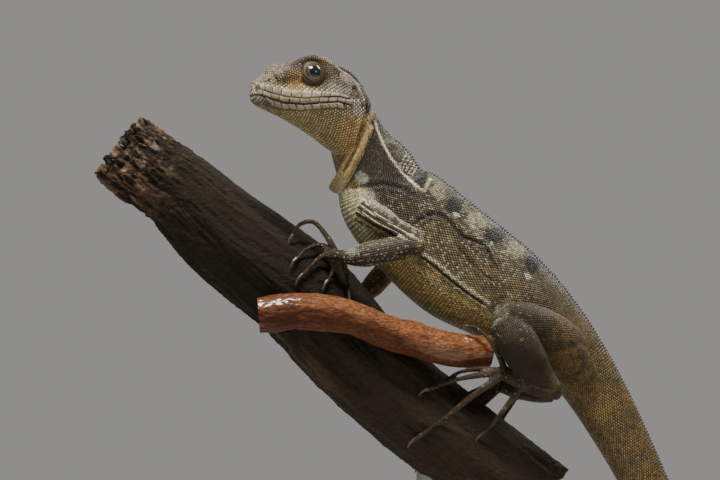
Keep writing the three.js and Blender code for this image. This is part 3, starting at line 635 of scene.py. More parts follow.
def body_tint(hide, points, t, angle):
    """Olive brown, darker above, with saddles, a pale side stripe and a yellow-olive belly.

    Each mark is a bell or a step of the distance from its drawn line or spot, roughened by noise.
    """
    x, z = points[..., 0], points[..., 2] - VENT_HEIGHT
    station, high = t * SPINE_STEPS, np.sin(angle)
    cloud, fine = mottle(points, 5, 1), mottle(points, 1.3, 2, 2)
    trunk = 1 - smooth(VENT_STATION - 1.5, VENT_STATION + 0.6, station)
    below = smooth(-0.2, -0.5, high + 0.1 * cloud)
    throat = smooth(0.4, -0.6, past_line(x, z, THROAT_EDGE)) * smooth(47, 50, z)
    chest = smooth(9.5, 5, off_spot(x, z, CHEST_SPOT)) * smooth(51.5, 50, z)
    beside, over = x - NECK_STREAKS[0], z - NECK_STREAKS[1]
    across, lengthwise = 0.85 * beside - 0.52 * over, 0.52 * beside + 0.85 * over
    streaked = smooth(3.2, 2.6, np.abs(across)) * smooth(2.9, 2.1, np.abs(lengthwise))
    fold_highlight = [[fold_x + 0.7, fold_z + 1] for fold_x, fold_z in SIDE_FOLD]
    rings = 0.5 + 0.5 * np.sin(TURN * station * 2.6 + 1.2 * cloud)
    return painted(varied(hide.flank, (1 + 0.45 * cloud + 0.25 * fine) * (1 + 0.35 * smooth(6, 14, x))), [
        (hide.back, smooth(0.3, 0.75, high + 0.15 * cloud) * (0.75 + 0.25 * fine)),
        (hide.neck, smooth(5.2, 3.8, station) * smooth(0.9, 0.5, high)),
        (hide.back, 0.6 * smooth(4, 2.5, station) * smooth(0.6, 0.8, high)),
        (hide.saddle, 0.55 * smooth(0.15, 0.55, mottle(points, 3.4, 13)) * (high > -0.4) * trunk),
        (hide.belly, below * smooth(2.8, 3.4, station) * (0.4 + 0.6 * trunk)),
        # Painted shade: the lowest strip of the belly turned back towards the flank's brown
        (hide.flank, 0.5 * below * smooth(-0.8, -1, high)),
        (varied(hide.tail, 1 + 0.2 * cloud + 0.2 * fine), 1 - trunk),
        (hide.throat, throat),
        *dabs(hide.pale_patch_and_gleam, points, [NECK_PATCH], 0.38, 0.5 * fine + 0.1),
        (hide.chest, chest * (0.75 + 0.25 * fine)),
        *dabs(hide.stripe, points, PALE_BACK, 0.3, 0.3 * fine),
        *dabs(hide.saddle, points, SADDLES, 1, 0.12 * cloud + 0.12 * fine),
        *dabs(hide.pale_patch_and_gleam, points, SADDLE_SPOTS, 0.85, 0.65 * fine + 0.1),
        (hide.saddle, 0.6 * streaked),
        (hide.stripe, 0.8 * streaked * smooth(-0.1, 0.6, np.cos(TURN * across / 1.15))),
        drawn(hide.stripe, points, SIDE_STRIPE, 0.95, 0.36, 0.12 * fine),
        drawn(hide.stripe, points, CROSS_BAR, 0.85, 0.4, 0.1 * fine),
        # Painted shade along the creases
        *[drawn(hide.crease_shade, points, line, dark, width, 0.12 * fine) for line, dark, width, *_ in CREASES],
        # Painted highlight: a pale line along the side fold's upper lip
        drawn(hide.stripe, points, fold_highlight, 0.5, 0.5, 0.2 * fine),
        (hide.saddle, 0.75 * smooth(0.975, 0.992, high) * trunk),
        (hide.saddle, 0.2 * smooth(0.6, 0.95, rings) * (1 - trunk)),
    ])


def head_tint(hide, points, t, angle):
    """Grey-brown above, a pale lip stripe, ochre before the eye and at the jaw, olive throat."""
    back, out, up = head_place(points)
    cloud, fine = mottle(points, 4, 3), mottle(points, 1.1, 4, 2)
    ochre = smooth(8, 11, back) * smooth(18, 14, back) * smooth(5.4, 4, np.abs(up - 3) + 1.4 * fine)
    ridge = smooth(2.6, 4.4, np.abs(out) + 0.5 * fine) * smooth(7.4, 9, up + 0.5 * fine)
    under = smooth(-2.4, -3.4, up)
    edge, _ = off_line(back, up, CREST_EDGE)
    stripe, run = off_line(back, up, LIP_STRIPE)
    ring = np.hypot(back - EYE_BACK, up - EYE_UP)
    return painted(varied(hide.crown, 1 + 0.35 * cloud + 0.25 * fine), [
        (hide.temple, smooth(21, 25, back) * smooth(8, 5, up)),
        (hide.loreal, 0.7 * smooth(6, 9, back) * smooth(20, 16, back) * smooth(7.2, 5, up)),
        (hide.ochre, 0.85 * ochre),
        (hide.pale_patch_and_gleam, 0.4 * smooth(3, 1.2, off_spot(back, up, CHEEK_SPOT) + 1.4 * fine)),
        (hide.arm, 0.2 * smooth(9.5, 7, back) * smooth(4, 6, up + fine)),
        (hide.pale_patch_and_gleam, 0.25 * smooth(3.2, 1.5, back + fine) * (up > -2)),
        (hide.crest, 0.55 * ridge * smooth(8, 11, back) * smooth(22, 19, back)),
        (hide.ochre, 0.5 * ridge * smooth(2.6, 1, off_spot(back, up, BROW_SPOT) + 0.6 * fine)),
        (hide.saddle, 0.45 * smooth(0.2, 0.6, cloud) * smooth(3, 5, up)),
        (varied(hide.throat, 1 + 0.25 * fine), under),
        (hide.chin, 0.7 * under * smooth(15, 6, back)),
        (hide.ochre, 0.85 * smooth(6.4, 2.5, off_spot(back, up, JAW_SPOT) + 0.8 * fine)),
        (hide.pale_patch_and_gleam, 0.8 * smooth(3.1, 1.4, off_spot(back, up, EAR_SPOT) + 1.6 * fine)),
        (hide.crest, 0.95 * smooth(0.2, 0.7, past_line(back, up, CREST_EDGE)) * smooth(-5, -2, up)),
        (hide.stripe, 0.65 * smooth(0.55, 0.2, edge + 0.2 * fine) * smooth(-1.5, 0.5, up)),
        (hide.stripe, 0.85 * smooth(0.7, 0.25, stripe + 0.2 * fine) * smooth(1, 0.85, run)),
        (hide.saddle, 0.6 * smooth(6.4, 4.6, ring) * smooth(19, 21, back)),
    ])


def crest_tint(hide, points, t, angle):
    """Red-brown clouded with pale, and a pale rim along the top of the lobe."""
    cloud = mottle(points, 2.5, 5)
    pale = 0.5 * smooth(0.93, 0.99, np.sin(angle)) + 0.1 * smooth(0.2, 0.7, cloud)
    return blend(varied(hide.crest, 1 + 0.3 * cloud), hide.stripe, pale)


def fold_tint(hide, points, t, angle):
    """Ochre, paler where the fold hangs under the throat, with painted shade: darker inwards, where it meets
    the skin, and in its groove.
    """
    return painted(varied(hide.ochre, 1.25 + 0.3 * mottle(points, 3, 6)), [
        (hide.chest, 0.12 + 0.35 * smooth(0.28, 0.4, t) * smooth(0.72, 0.6, t)),
        (hide.throat, 0.6 * smooth(0.1, -0.5, np.cos(angle))),
        (hide.crease_shade, 0.85 * smooth(-0.82, -0.95, np.sin(angle))),
    ])


def limb_tint(hide, points, t, angle):
    """Grey-brown with cloudy dark mottling, a painted shadow over the lower hind legs and the tail's olive on
    the haunch.

    The near upper arm is pale above, a painted highlight, with light streaks below that: steps of a
    cosine of the height over the arm's middle line. The near forearm has rows of pale dots, made the
    same way, and a painted highlight towards its top.
    """
    cloud, fine = mottle(points, 3.4, 7), mottle(points, 1, 8, 2)
    x, y, z = points[..., 0], points[..., 1], points[..., 2] - VENT_HEIGHT
    hind, near = smooth(16, 20, x), y < 0
    arm = (1 - hind) * smooth(35, 36.5, z + 0.12 * (x + 4)) * near
    over_arm = 0.863 * (z + 0.585 * x - 33.9)
    over_forearm = z - 31.8 - 0.186 * (x + 17.9)
    dots = smooth(0.4, 0.8, np.cos(TURN * (z - 0.08 * x) / 1.5)) * smooth(0, 0.3, np.cos(TURN * x / 1.4))
    return painted(varied(hide.limb, 1 + 0.3 * cloud), [
        # Painted shadow over the lower hind legs
        (hide.shin_shade, hind * smooth(12, 4, z + 0.4 * (x - 20))),
        (hide.tail, 0.85 * smooth(31, 38, x + 3 * cloud)),
        (hide.saddle, 0.5 * smooth(0.0, 0.5, cloud)),
        (hide.limb, 0.9 * arm),
        # Painted highlight along the top of the near upper arm
        (hide.arm, 0.75 * arm * smooth(1.1, 2.4, over_arm + 0.8 * fine)),
        (hide.stripe, 0.7 * arm * smooth(-0.1, 0.55, np.cos(TURN * over_arm / 1.75)) * (over_arm < 1.5)),
        # Painted highlight towards the top of the near forearm
        (hide.arm, 0.13 * (1 - arm) * (1 - hind) * near * smooth(-0.5, 2.6, over_forearm + 0.8 * fine)),
        (hide.pale_patch_and_gleam, 0.45 * smooth(2.4, 0.8, off_spot(x, z, WRIST_SPOT) + 1.2 * fine) * near),
        (hide.stripe, 0.22 * dots * (1 - hind) * near * smooth(35.5, 34.5, z)),
        (hide.ochre, 0.2 * (y > 0) * (1 - hind)),
        (hide.ochre, 0.2 * smooth(3.4, 1, off_spot(x, z, ELBOW_SPOT) + fine)),
        # Painted highlight on the knee
        (hide.pale_patch_and_gleam, 0.5 * smooth(3, 0.6, off_spot(x, z, KNEE_GLEAM) + fine)),
    ])


def paw_tint(hide, points, t, angle):
    """Brown with faint darker bars."""
    cloud = mottle(points, 2.2, 9)
    tint = varied(hide.paw, 1 + 0.35 * cloud)
    return blend(tint, hide.saddle, 0.5 * smooth(0.3, 0.9, np.sin(TURN * 3 * t + 2 * cloud)))


TINTS = {
    "body": body_tint, "head": head_tint, "crest": crest_tint, "fold": fold_tint,
    "limb": limb_tint, "paw": paw_tint, "digit": paw_tint,
}


# Meshes

def placed(name, mesh, slot):
    """An object for a mesh, put in the scene; one with a slot rides on the frame."""
    piece = bpy.data.objects.new(name, mesh)
    bpy.context.scene.collection.objects.link(piece)
    if slot is not None:
        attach(piece, "root")
    return piece


def set_points(mesh, points):
    """Puts an array of points in millimetres into a mesh."""
    mesh.vertices.foreach_set("co", (np.asarray(points) * MM).astype(np.float32).ravel())


def set_tint(mesh, tint):
    """Stores a colour on each of a mesh's points."""
    store = mesh.attributes.new("tint", "FLOAT_VECTOR", "POINT")
    store.data.foreach_set("vector", np.clip(tint, 0, 1).astype(np.float32).ravel())


def make_piece(name, points, faces, finish, slot, tint=None, patches=None):
    """A piece from arrays of points in millimetres and of faces of equal size."""
    mesh = bpy.data.meshes.new(name)
    mesh.vertices.add(len(points))
    set_points(mesh, points)
    mesh.loops.add(faces.size)
    mesh.loops.foreach_set("vertex_index", faces.astype(np.int32).ravel())
    mesh.polygons.add(len(faces))
    mesh.polygons.foreach_set("loop_start", np.arange(0, faces.size, faces.shape[1], dtype=np.int32))
    mesh.update(calc_edges=True)
    mesh.polygons.foreach_set("use_smooth", np.full(len(faces), True))
    if tint is not None:
        set_tint(mesh, tint)
    if patches is not None:
        layer = mesh.uv_layers.new(name="OFBake")
        layer.data.foreach_set("uv", patches[faces.ravel()].astype(np.float32).ravel())
    if finish is not None:
        mesh.materials.append(finish)
    return placed(name, mesh, slot)


def vectors(items, key):
    """A vector of each item in one of a mesh's lists, as an array."""
    flat = np.empty(len(items) * 3, np.float32)
    items.foreach_get(key, flat)
    return flat.reshape(-1, 3).astype(float)


def points_and_normals(mesh):
    """A mesh's vertices in millimetres, and their normals."""
    return vectors(mesh.vertices, "co") / MM, vectors(mesh.vertex_normals, "vector")


def evaluated(piece):
    """A piece as its modifiers leave it."""
    bpy.context.view_layer.update()
    return piece.evaluated_get(bpy.context.evaluated_depsgraph_get())


def together(parts):
    """Several (points, faces, more arrays) as one, with the faces renumbered."""
    starts = np.cumsum([0] + [len(part[0]) for part in parts[:-1]])
    faces = np.vstack([part[1] + start for part, start in zip(parts, starts)])
    rest = [np.concatenate([part[k] for part in parts]) for k in range(2, len(parts[0]))]
    return np.vstack([part[0] for part in parts]), faces, *rest


# Nodes that give a target's own place and normal
SOURCES = {"at": "GeometryNodeInputPosition", "lie": "GeometryNodeInputNormal"}


def read_off(target, points, wanted):
    """The target's place ("at"), normal ("lie") or stored attribute nearest to each point."""
    tree = bpy.data.node_groups.new("read_off", "GeometryNodeTree")
    for way in ("INPUT", "OUTPUT"):
        tree.interface.new_socket("Geometry", in_out=way, socket_type="NodeSocketGeometry")
    add, link = tree.nodes.new, tree.links.new
    target_node = add("GeometryNodeObjectInfo")
    target_node.inputs["Object"].default_value = target
    last = add("NodeGroupInput").outputs[0]
    for name in wanted:
        source = add(SOURCES.get(name, "GeometryNodeInputNamedAttribute"))
        if name not in SOURCES:
            source.data_type = "FLOAT_VECTOR"
            source.inputs["Name"].default_value = name
        sample = add("GeometryNodeSampleNearestSurface")
        store = add("GeometryNodeStoreNamedAttribute")
        sample.data_type = store.data_type = "FLOAT_VECTOR"
        store.inputs["Name"].default_value = name
        link(target_node.outputs["Geometry"], sample.inputs["Mesh"])
        link(source.outputs[0], sample.inputs["Value"])
        link(last, store.inputs["Geometry"])
        link(sample.outputs["Value"], store.inputs["Value"])
        last = store.outputs["Geometry"]
    link(last, add("NodeGroupOutput").inputs[0])
    carrier = make_piece("carrier", points, np.empty((0, 3), int), None, None)
    carrier.modifiers.new("read_off", "NODES").node_group = tree
    read = evaluated(carrier).data.attributes
    found = [vectors(read[name].data, "vector") * (1 / MM if name == "at" else 1) for name in wanted]
    bpy.data.objects.remove(carrier)
    bpy.data.node_groups.remove(tree)
    return found


# Materials

class Wire:
    """An output socket, on which sums are written as plain expressions."""

    def __init__(self, paint, socket):
        self.paint, self.socket = paint, socket

    def maths(self, operation, *values):
        """The result of one operation on sockets and numbers."""
        return self.paint.node("ShaderNodeMath", {"operation": operation}, dict(enumerate(values)))

    def __add__(self, other):
        return self.maths("ADD", self, other)

    def __mul__(self, other):
        return self.maths("MULTIPLY", self, other)

    def __sub__(self, other):
        return self.maths("SUBTRACT", self, other)

    def __rsub__(self, other):
        return self.maths("SUBTRACT", other, self)

    def __truediv__(self, other):
        return self.maths("DIVIDE", self, other)

    def __rtruediv__(self, other):
        return self.maths("DIVIDE", other, self)

    __radd__, __rmul__ = __add__, __mul__

    def above(self, low, high):
        """0 below low, 1 above high and a smooth step between."""
        return self.paint.node("ShaderNodeMapRange", {"interpolation_type": "SMOOTHSTEP"}, {
            "Value": self, "From Min": low, "From Max": high,
        })


class Paint:
    """One material: a surface shader and the nodes that feed it."""

    def __init__(self, name):
        self.material = bpy.data.materials.new(name)
        self.material.use_nodes = True
        self.tree = self.material.node_tree
        self.tree.nodes.clear()

    def node(self, kind, settings=(), sockets=(), output=0):
        """A node of a kind, its settings made first, then its sockets set or linked."""
        made = self.tree.nodes.new(kind)
        for name, value in dict(settings).items():
            setattr(made, name, value)
        for name, value in dict(sockets).items():
            if isinstance(value, Wire):
                self.tree.links.new(value.socket, made.inputs[name])
            else:
                made.inputs[name].default_value = value
        return Wire(self, made.outputs[output]) if made.outputs else None

    def place(self, turn=None, stretch=None):
        """Object coordinates in metres, turned and stretched if asked."""
        place = self.node("ShaderNodeTexCoord", output="Object")
        if stretch is None:
            return place
        return self.node("ShaderNodeMapping", {}, {
            "Vector": place, "Rotation": turn or (0, 0, 0), "Scale": stretch,
        })

    def vector(self, operation, first, second=None, output="Value"):
        """The result of one operation on vectors."""
        values = {0: first} if second is None else {0: first, 1: second}
        return self.node("ShaderNodeVectorMath", {"operation": operation}, values, output)

    def noise(self, grain, detail=3.0, place=None, distortion=0.0):
        """Noise of about 0 to 1 with lumps of grain millimetres."""
        return self.node("ShaderNodeTexNoise", {}, {
            "Vector": place or self.place(), "Scale": 1 / (grain * MM), "Detail": detail,
            "Distortion": distortion,
        })

    def mixed(self, factor, first, second):
        """First moved towards second by factor, as colours."""
        return self.node("ShaderNodeMix", {"data_type": "RGBA"}, {0: factor, 6: first, 7: second}, 2)

    def stored(self, name):
        """A colour stored on the mesh."""
        return self.node("ShaderNodeAttribute", {"attribute_name": name}, output="Color")

    def bump(self, height, millimetres):
        """A normal bent by a height of 0 to 1 over so many millimetres."""
        return self.node("ShaderNodeBump", {}, {
            "Height": height, "Distance": millimetres * MM, "Strength": 1.0,
        })

    def finished(self, sockets):
        """The material, with its surface shader's sockets set."""
        shader = self.node("ShaderNodeBsdfPrincipled", {}, sockets)
        self.node("ShaderNodeOutputMaterial", {}, {"Surface": shader})
        return self.material


def rgba(colour):
    """A colour setting with full alpha."""
    return (*colour, 1.0)


def hide_finish():
    """The skin between the scales: the animal's own colours, darkened, with fine creases."""
    paint = Paint("hide")
    grain = paint.noise(0.35, 4.0)
    return paint.finished({
        "Base Color": paint.mixed(0.6 + grain * 0.25, paint.stored("tint"), (0.012, 0.009, 0.006, 1.0)),
        "Roughness": 0.5 + grain * 0.2,
        "Specular IOR Level": 0.25,
        "Normal": paint.bump(grain, 0.05),
    })


def scale_finish(name, roughness, coat, shine=0.35):
    """Dry horny scales in the animal's own colours, each with a fine grain."""
    paint = Paint(name)
    grain, tint = paint.noise(0.22, 2.0), paint.stored("tint")
    return paint.finished({
        "Base Color": paint.mixed(grain.above(0.35, 0.75) * 0.18, tint, (0.02, 0.016, 0.012, 1.0)),
        "Roughness": roughness + grain * 0.18,
        "Specular IOR Level": shine,
        "Coat Weight": coat,
        "Coat Roughness": 0.22,
        "Normal": paint.bump(grain, 0.02),
    })


# Scales

# A scale's faces above, round a ridge from point 6 to point 7 within a rim of points 0 to 5
RIDGED = [(6, 0, 1), (6, 1, 7), (7, 1, 2), (7, 2, 3), (7, 3, 4), (7, 4, 5), (6, 7, 5), (6, 5, 0)]
BLUNT = [(6, 0, 1), (6, 1, 7), (7, 1, 2), (7, 2, 3), (7, 3, 4), (6, 7, 4), (6, 4, 5), (6, 5, 0)]
# Points as (along, across, lift, painted shade) in shares of the scale's own size, and those faces
# The painted shade darkens each scale's rim and the sunk point under it, where scales overlap, and lightens
# the ridge as a painted highlight
SHAPES = {
    "keeled": ([
        (0.62, 0, 0.12, 0.8), (0.24, 0.5, -0.02, 0.33), (-0.3, 0.42, -0.16, 0.24),
        (-0.55, 0, -0.22, 0.24), (-0.3, -0.42, -0.16, 0.24), (0.24, -0.5, -0.02, 0.33),
        (0.38, 0, 0.3, 1.57), (-0.24, 0, 0.16, 1.29), (0, 0, -0.4, 0.24),
    ], RIDGED),
    "granule": ([
        (0.5, 0, -0.12, 0.3), (0.25, 0.46, -0.14, 0.25), (-0.25, 0.46, -0.16, 0.23),
        (-0.5, 0, -0.18, 0.22), (-0.25, -0.46, -0.16, 0.23), (0.25, -0.46, -0.14, 0.25),
        (0.2, 0, 0.24, 1.59), (-0.2, 0, 0.22, 1.46), (0, 0, -0.4, 0.21),
    ], RIDGED),
    "tile": ([
        (0.54, 0.22, 0.02, 0.5), (0.3, 0.5, -0.06, 0.4), (-0.42, 0.46, -0.16, 0.34),
        (-0.42, -0.46, -0.16, 0.34), (0.3, -0.5, -0.06, 0.4), (0.54, -0.22, 0.02, 0.5),
        (0.34, 0, 0.14, 1.46), (-0.24, 0, 0.08, 1.1), (0, 0, -0.4, 0.21),
    ], BLUNT),
}
# A scale's points in its rim, and in all
RIM, CORNERS = 6, 9


def shape_arrays(name):
    """A scale's points and its faces, with the underside closed from its rim to a sunk point."""
    points, top = (np.array(part) for part in SHAPES[name])
    rim = np.arange(RIM)
    under = np.stack([np.full(RIM, CORNERS - 1), np.roll(rim, -1), rim], -1)
    return points, np.vstack([top, under])


# Share of pale and of dark scales on each kind of hide
FLECKS = {
    "body": (0.16, 0.2), "head": (0.08, 0.14), "crest": (0.06, 0.2), "fold": (0.03, 0.05),
    "limb": (0.07, 0.2), "paw": (0.05, 0.25), "digit": (0.04, 0.25),
}


def flecked(hide, tint, points, shares, rng):
    """Tints with single scales picked at random, more often in some clouds, and made pale or dark."""
    often = 1 + 1.4 * mottle(points, 2.6, 17, 2)
    pale, dark = (rng.random(len(points)) < share * often for share in shares)
    tint = blend(tint, hide.saddle, 0.4 * dark)
    forward = 0.15 + 0.85 * smooth(34, 22, points[:, 0])
    return blend(tint, hide.stripe, 0.2 * forward * pale * smooth(0.012, 0.03, tint.mean(-1)))


def set_scales(roots, along, normal, length, width, tint, shape, place, rng, depth=0.42):
    """Points, faces, colours and patches of scales set on their roots.

    A scale's point is its root, plus along, across and normal times its shares of length, width
    and thickness. Thickness is depth times the width. Sizes and colours vary by a few percent.
    Each point's colour is also multiplied by the shape's painted shade: dark rims, light ridges.
    """
    template, top = shape_arrays(shape)
    count = len(roots)
    across = unit(np.cross(normal, along))
    along = np.cross(across, normal)
    vary = 1 + 0.07 * rng.standard_normal((count, 3))
    size = np.stack([length, width, depth * np.sqrt(length * width)], -1) * vary
    local = template[None, :, :3] * size[:, None]
    axes = np.stack([along, across, normal], 1)
    points = roots[:, None] + np.einsum("nck,nkd->ncd", local, axes)
    # Random tone times the shape's painted shade and highlight
    tone_and_painted_shade = (1 + 0.24 * rng.standard_normal((count, 1, 1))) * template[None, :, 3:4]
    faces = top[None] + CORNERS * np.arange(count)[:, None, None]
    patch = 0.003 + 0.994 * place[:, None] + 0.0028 * template[None, :, :2]
    colour = tint[:, None] * np.clip(tone_and_painted_shade, 0.3, 1.7)
    return points.reshape(-1, 3), faces.reshape(-1, 3), colour.reshape(-1, 3), patch.reshape(-1, 2)


def lattice(sweep, around, ratio, start=0.0, end=1.0, stagger=0.5):
    """Shares and angles of scale roots in rows round a sweep, with each scale's share of a row.

    Rows lie a scale's length apart, which is ratio times the girth over the number around, so
    their count is the sum of line length over row pitch. Each other row is moved on by stagger.
    """
    t = np.linspace(start, end, 400)
    girth = girth_at(sweep, t)
    many = np.broadcast_to(around(t) if callable(around) else around, t.shape)
    step = np.linalg.norm(np.diff(sweep.frame(t)[0], axis=0), axis=-1)
    pitch = ratio * girth / many
    rows = np.concatenate([[0], np.cumsum(step / (0.5 * (pitch[1:] + pitch[:-1])))])
    row_t = np.interp(np.arange(int(rows[-1])) + 0.5, rows, t)
    counts = np.maximum(6, np.round(np.interp(row_t, t, many)).astype(int))
    row = np.repeat(np.arange(len(row_t)), counts)
    order = np.arange(len(row)) - np.repeat(np.cumsum(counts) - counts, counts)
    angle = TURN * (order + stagger * (row % 2)) / counts[row]
    return row_t[row], angle, np.interp(row_t, t, pitch / ratio)[row]


# How far, in mm, a root may lie off the skin before other flesh is taken to cover it
BURIED = 0.45
# Half the steps in share of the line and in angle between which a scale's own axes are measured
NUDGE_ALONG, NUDGE_ROUND = 0.025, 0.02


def coat(skin, sweep, kind, hide, around, ratio=0.9, start=0.0, end=1.0, shape="keeled",
         overlap=1.3, keep=None, seed=0, stagger=0.5, depth=0.42):
    """Scales in rows on one sweep, laid on the skin and left out where other flesh covers them."""
    t, angle, pitch = lattice(sweep, around, ratio, start, end, stagger)
    roots = sweep.point(t, angle)
    if keep is not None:
        kept = keep(roots, angle)
        t, angle, pitch, roots = (a[kept] for a in (t, angle, pitch, roots))
    at, lie = read_off(skin, roots, ("at", "lie"))
    kept = np.linalg.norm(at - roots, axis=-1) < BURIED + COAT_DEPTH
    t, angle, pitch, roots, at, lie = (a[kept] for a in (t, angle, pitch, roots, at, lie))
    nudge = NUDGE_ALONG / len(sweep.line)
    after, before = (sweep.point(np.clip(t + step, 0, 1), angle) for step in (nudge, -nudge))
    beside = sweep.point(t, angle + NUDGE_ROUND) - sweep.point(t, angle - NUDGE_ROUND)
    stretch = np.linalg.norm(beside, axis=-1) / (2 * NUDGE_ROUND) * TURN
    width = stretch * pitch / np.maximum(girth_of(sweep, t), 1e-3)
    width = 1.06 * np.clip(width, 0.6 * pitch, 1.5 * pitch)
    place = np.stack([(t - start) / (end - start), np.mod(angle / TURN, 1)], -1)
    rng = np.random.default_rng(seed)
    tint = flecked(hide, TINTS[kind](hide, roots, t, angle), roots, FLECKS[kind], rng)
    long = pitch * ratio * overlap
    return set_scales(at, unit(after - before), lie, long, width, tint, shape, place, rng, depth)



def girth_at(sweep, t):
    """Length round the sweep at shares t, as the sum of 24 straight sides."""
    ring = sweep.point(t[:, None], TURN * np.arange(24) / 24)
    return np.linalg.norm(ring - np.roll(ring, 1, axis=1), axis=-1).sum(1)


def girth_of(sweep, t):
    """Length round the sweep at many shares t, read from a table of rings."""
    table = np.linspace(0, 1, 200)
    return np.interp(t, table, girth_at(sweep, table))


# Settings that a user would change

def colour(name, default, description):
    """A colour setting, as red, green and blue of light."""
    return bpy.props.FloatVectorProperty(
        name=name, subtype="COLOR", size=3, min=0, max=1, default=default, description=description)


def length(name, default, description):
    """A length setting, in metres."""
    return bpy.props.FloatProperty(
        name=name, unit="LENGTH", default=default, min=0, description=description)


class HideSettings(bpy.types.PropertyGroup):
    """The animal's colours."""
    back: colour("Back", (0.1, 0.088, 0.06), "Upper back")
    flank: colour("Flank", (0.085, 0.062, 0.029), "Side of the trunk")
    belly: colour("Belly", (0.36, 0.27, 0.10), "Belly, yellow-olive")
    neck: colour("Neck", (0.026, 0.019, 0.011), "Side of the neck")
    chest: colour("Chest", (0.95, 0.9, 0.58), "Pale scales of the chest")
    tail: colour("Tail", (0.12, 0.076, 0.021), "Tail")
    saddle: colour("Saddle", (0.014, 0.014, 0.015), "Dark saddles and mottling")
    # Painted shade in the creases and in the throat fold's groove
    crease_shade: colour("Crease", (0.012, 0.008, 0.005), "Deep folds")
    stripe: colour("Stripe", (0.66, 0.60, 0.40), "Pale stripes and flecks")
    crown: colour("Crown", (0.22, 0.16, 0.108), "Top of the head")
    temple: colour("Temple", (0.085, 0.056, 0.036), "Side of the head behind the eye")
    loreal: colour("Loreal", (0.18, 0.12, 0.045), "Between the nostril and the eye")
    ochre: colour("Ochre", (0.55, 0.345, 0.12), "Before the eye, jaw corner and throat fold")
    throat: colour("Throat", (0.33, 0.265, 0.12), "Throat")
    chin: colour("Chin", (0.22, 0.16, 0.085), "Under the snout")
    lip: colour("Lip", (0.22, 0.175, 0.12), "Lip plates")
    # Pale patches of the skin; also laid on the knee as a painted highlight
    pale_patch_and_gleam: colour("Pale patch", (0.50, 0.53, 0.40), "Patch behind the jaw and on the wrist")
    crest: colour("Crest", (0.045, 0.017, 0.012), "Lobe behind the head")
    limb: colour("Limbs", (0.05, 0.035, 0.02), "Arms and legs")
    # Pale: the painted highlight on the tops of the near upper arm and forearm, and a pale wash on the
    # snout's top
    arm: colour("Upper arm", (0.5, 0.45, 0.38), "Near side of the upper arms")
    # Painted shadow over the lower hind legs
    shin_shade: colour("Lower leg", (0.02, 0.009, 0.003), "Shins and heels")
    paw: colour("Feet", (0.06, 0.04, 0.022), "Hands, feet and digits")


class SkinSettings(bpy.types.PropertyGroup):
    """How finely the skin is made."""
    voxel: length("Voxel", 0.0004, "Size of the cells in which the flesh is joined")
    share: bpy.props.FloatProperty(
        name="Share kept", default=0.66, min=0.1, max=1, subtype="FACTOR",
        description="Share of the joined skin's faces that is kept")


class EyeSettings(bpy.types.PropertyGroup):
    """The eyes' colours."""
    pupil: colour("Pupil", (0.003, 0.003, 0.004), "Pupil")
    rim: colour("Pupil's rim", (0.15, 0.105, 0.05), "Gold ring round the pupil")
    iris: colour("Iris", (0.025, 0.021, 0.016), "Iris")
    streaks: colour("Streaks", (0.075, 0.06, 0.04), "Lighter streaks in the iris")
    edge: colour("Edge", (0.02, 0.016, 0.012), "Eyeball beyond the iris")


class PerchSettings(bpy.types.PropertyGroup):
    """Colours of the branch, the thin stem and the stand."""
    bark: colour("Bark", (0.016, 0.0125, 0.008), "Bark of the branch")
    warm_bark: colour("Warm bark", (0.14, 0.085, 0.05), "Brown patches of the bark")
    worn_bark: colour("Worn bark", (0.3, 0.23, 0.17), "Pale bark near the upper end")
    stem: colour("Stem", (0.25, 0.09, 0.028), "Thin stem")
    # Painted shade on the stem's underside
    stem_shade: colour("Stem's shade", (0.055, 0.015, 0.006), "Underside of the thin stem")
    wood: colour("Wood", (0.05, 0.028, 0.016), "Dark grain of the base")
    light_wood: colour("Light wood", (0.105, 0.062, 0.036), "Light grain of the base")
    steel: colour("Steel", (0.30, 0.30, 0.30), "Dark brush lines of the rod")
    light_steel: colour("Light steel", (0.42, 0.42, 0.41), "Light brush lines of the rod")


class StageSettings(bpy.types.PropertyGroup):
    """Floor, light and camera."""
    floor: colour("Floor", (0.62, 0.61, 0.58), "Studio floor")
    distance: length("Camera distance", 1.25, "From the animal's middle plane to the camera")
    floor_radius: length("Floor radius", 3.0, "Radius of the floor")


def settings(name):
    """The scene's settings of one group."""
    return getattr(bpy.context.scene, f"basilisk_{name}")


# Skin

# Places on the head: back from the snout, out from the middle and up from the mouth
NOSTRIL = (4.4, 2.9, 4.5)
EAR = (30.6, 9.7, 2.6)
# Solids in whose place the skin stands
FLESH_NODES = [
    "head", "head_crest", "neck", "torso", "tail_1", "tail_2", "tail_3", "tail_4", *LIMBS, *PALMS,
]


def eye_frame(way):
    """An eye's centre and its outward, level and upright axes; it looks a little forward and up."""
    centre = in_head(EYE_BACK, EYE_OUT * way, EYE_UP)
    outward = unit(HEAD_LEFT * way + 0.16 * HEAD_FORWARD + 0.05 * HEAD_UP)
    level = unit(np.cross(HEAD_UP, outward))
    return centre, outward, level, np.cross(outward, level)


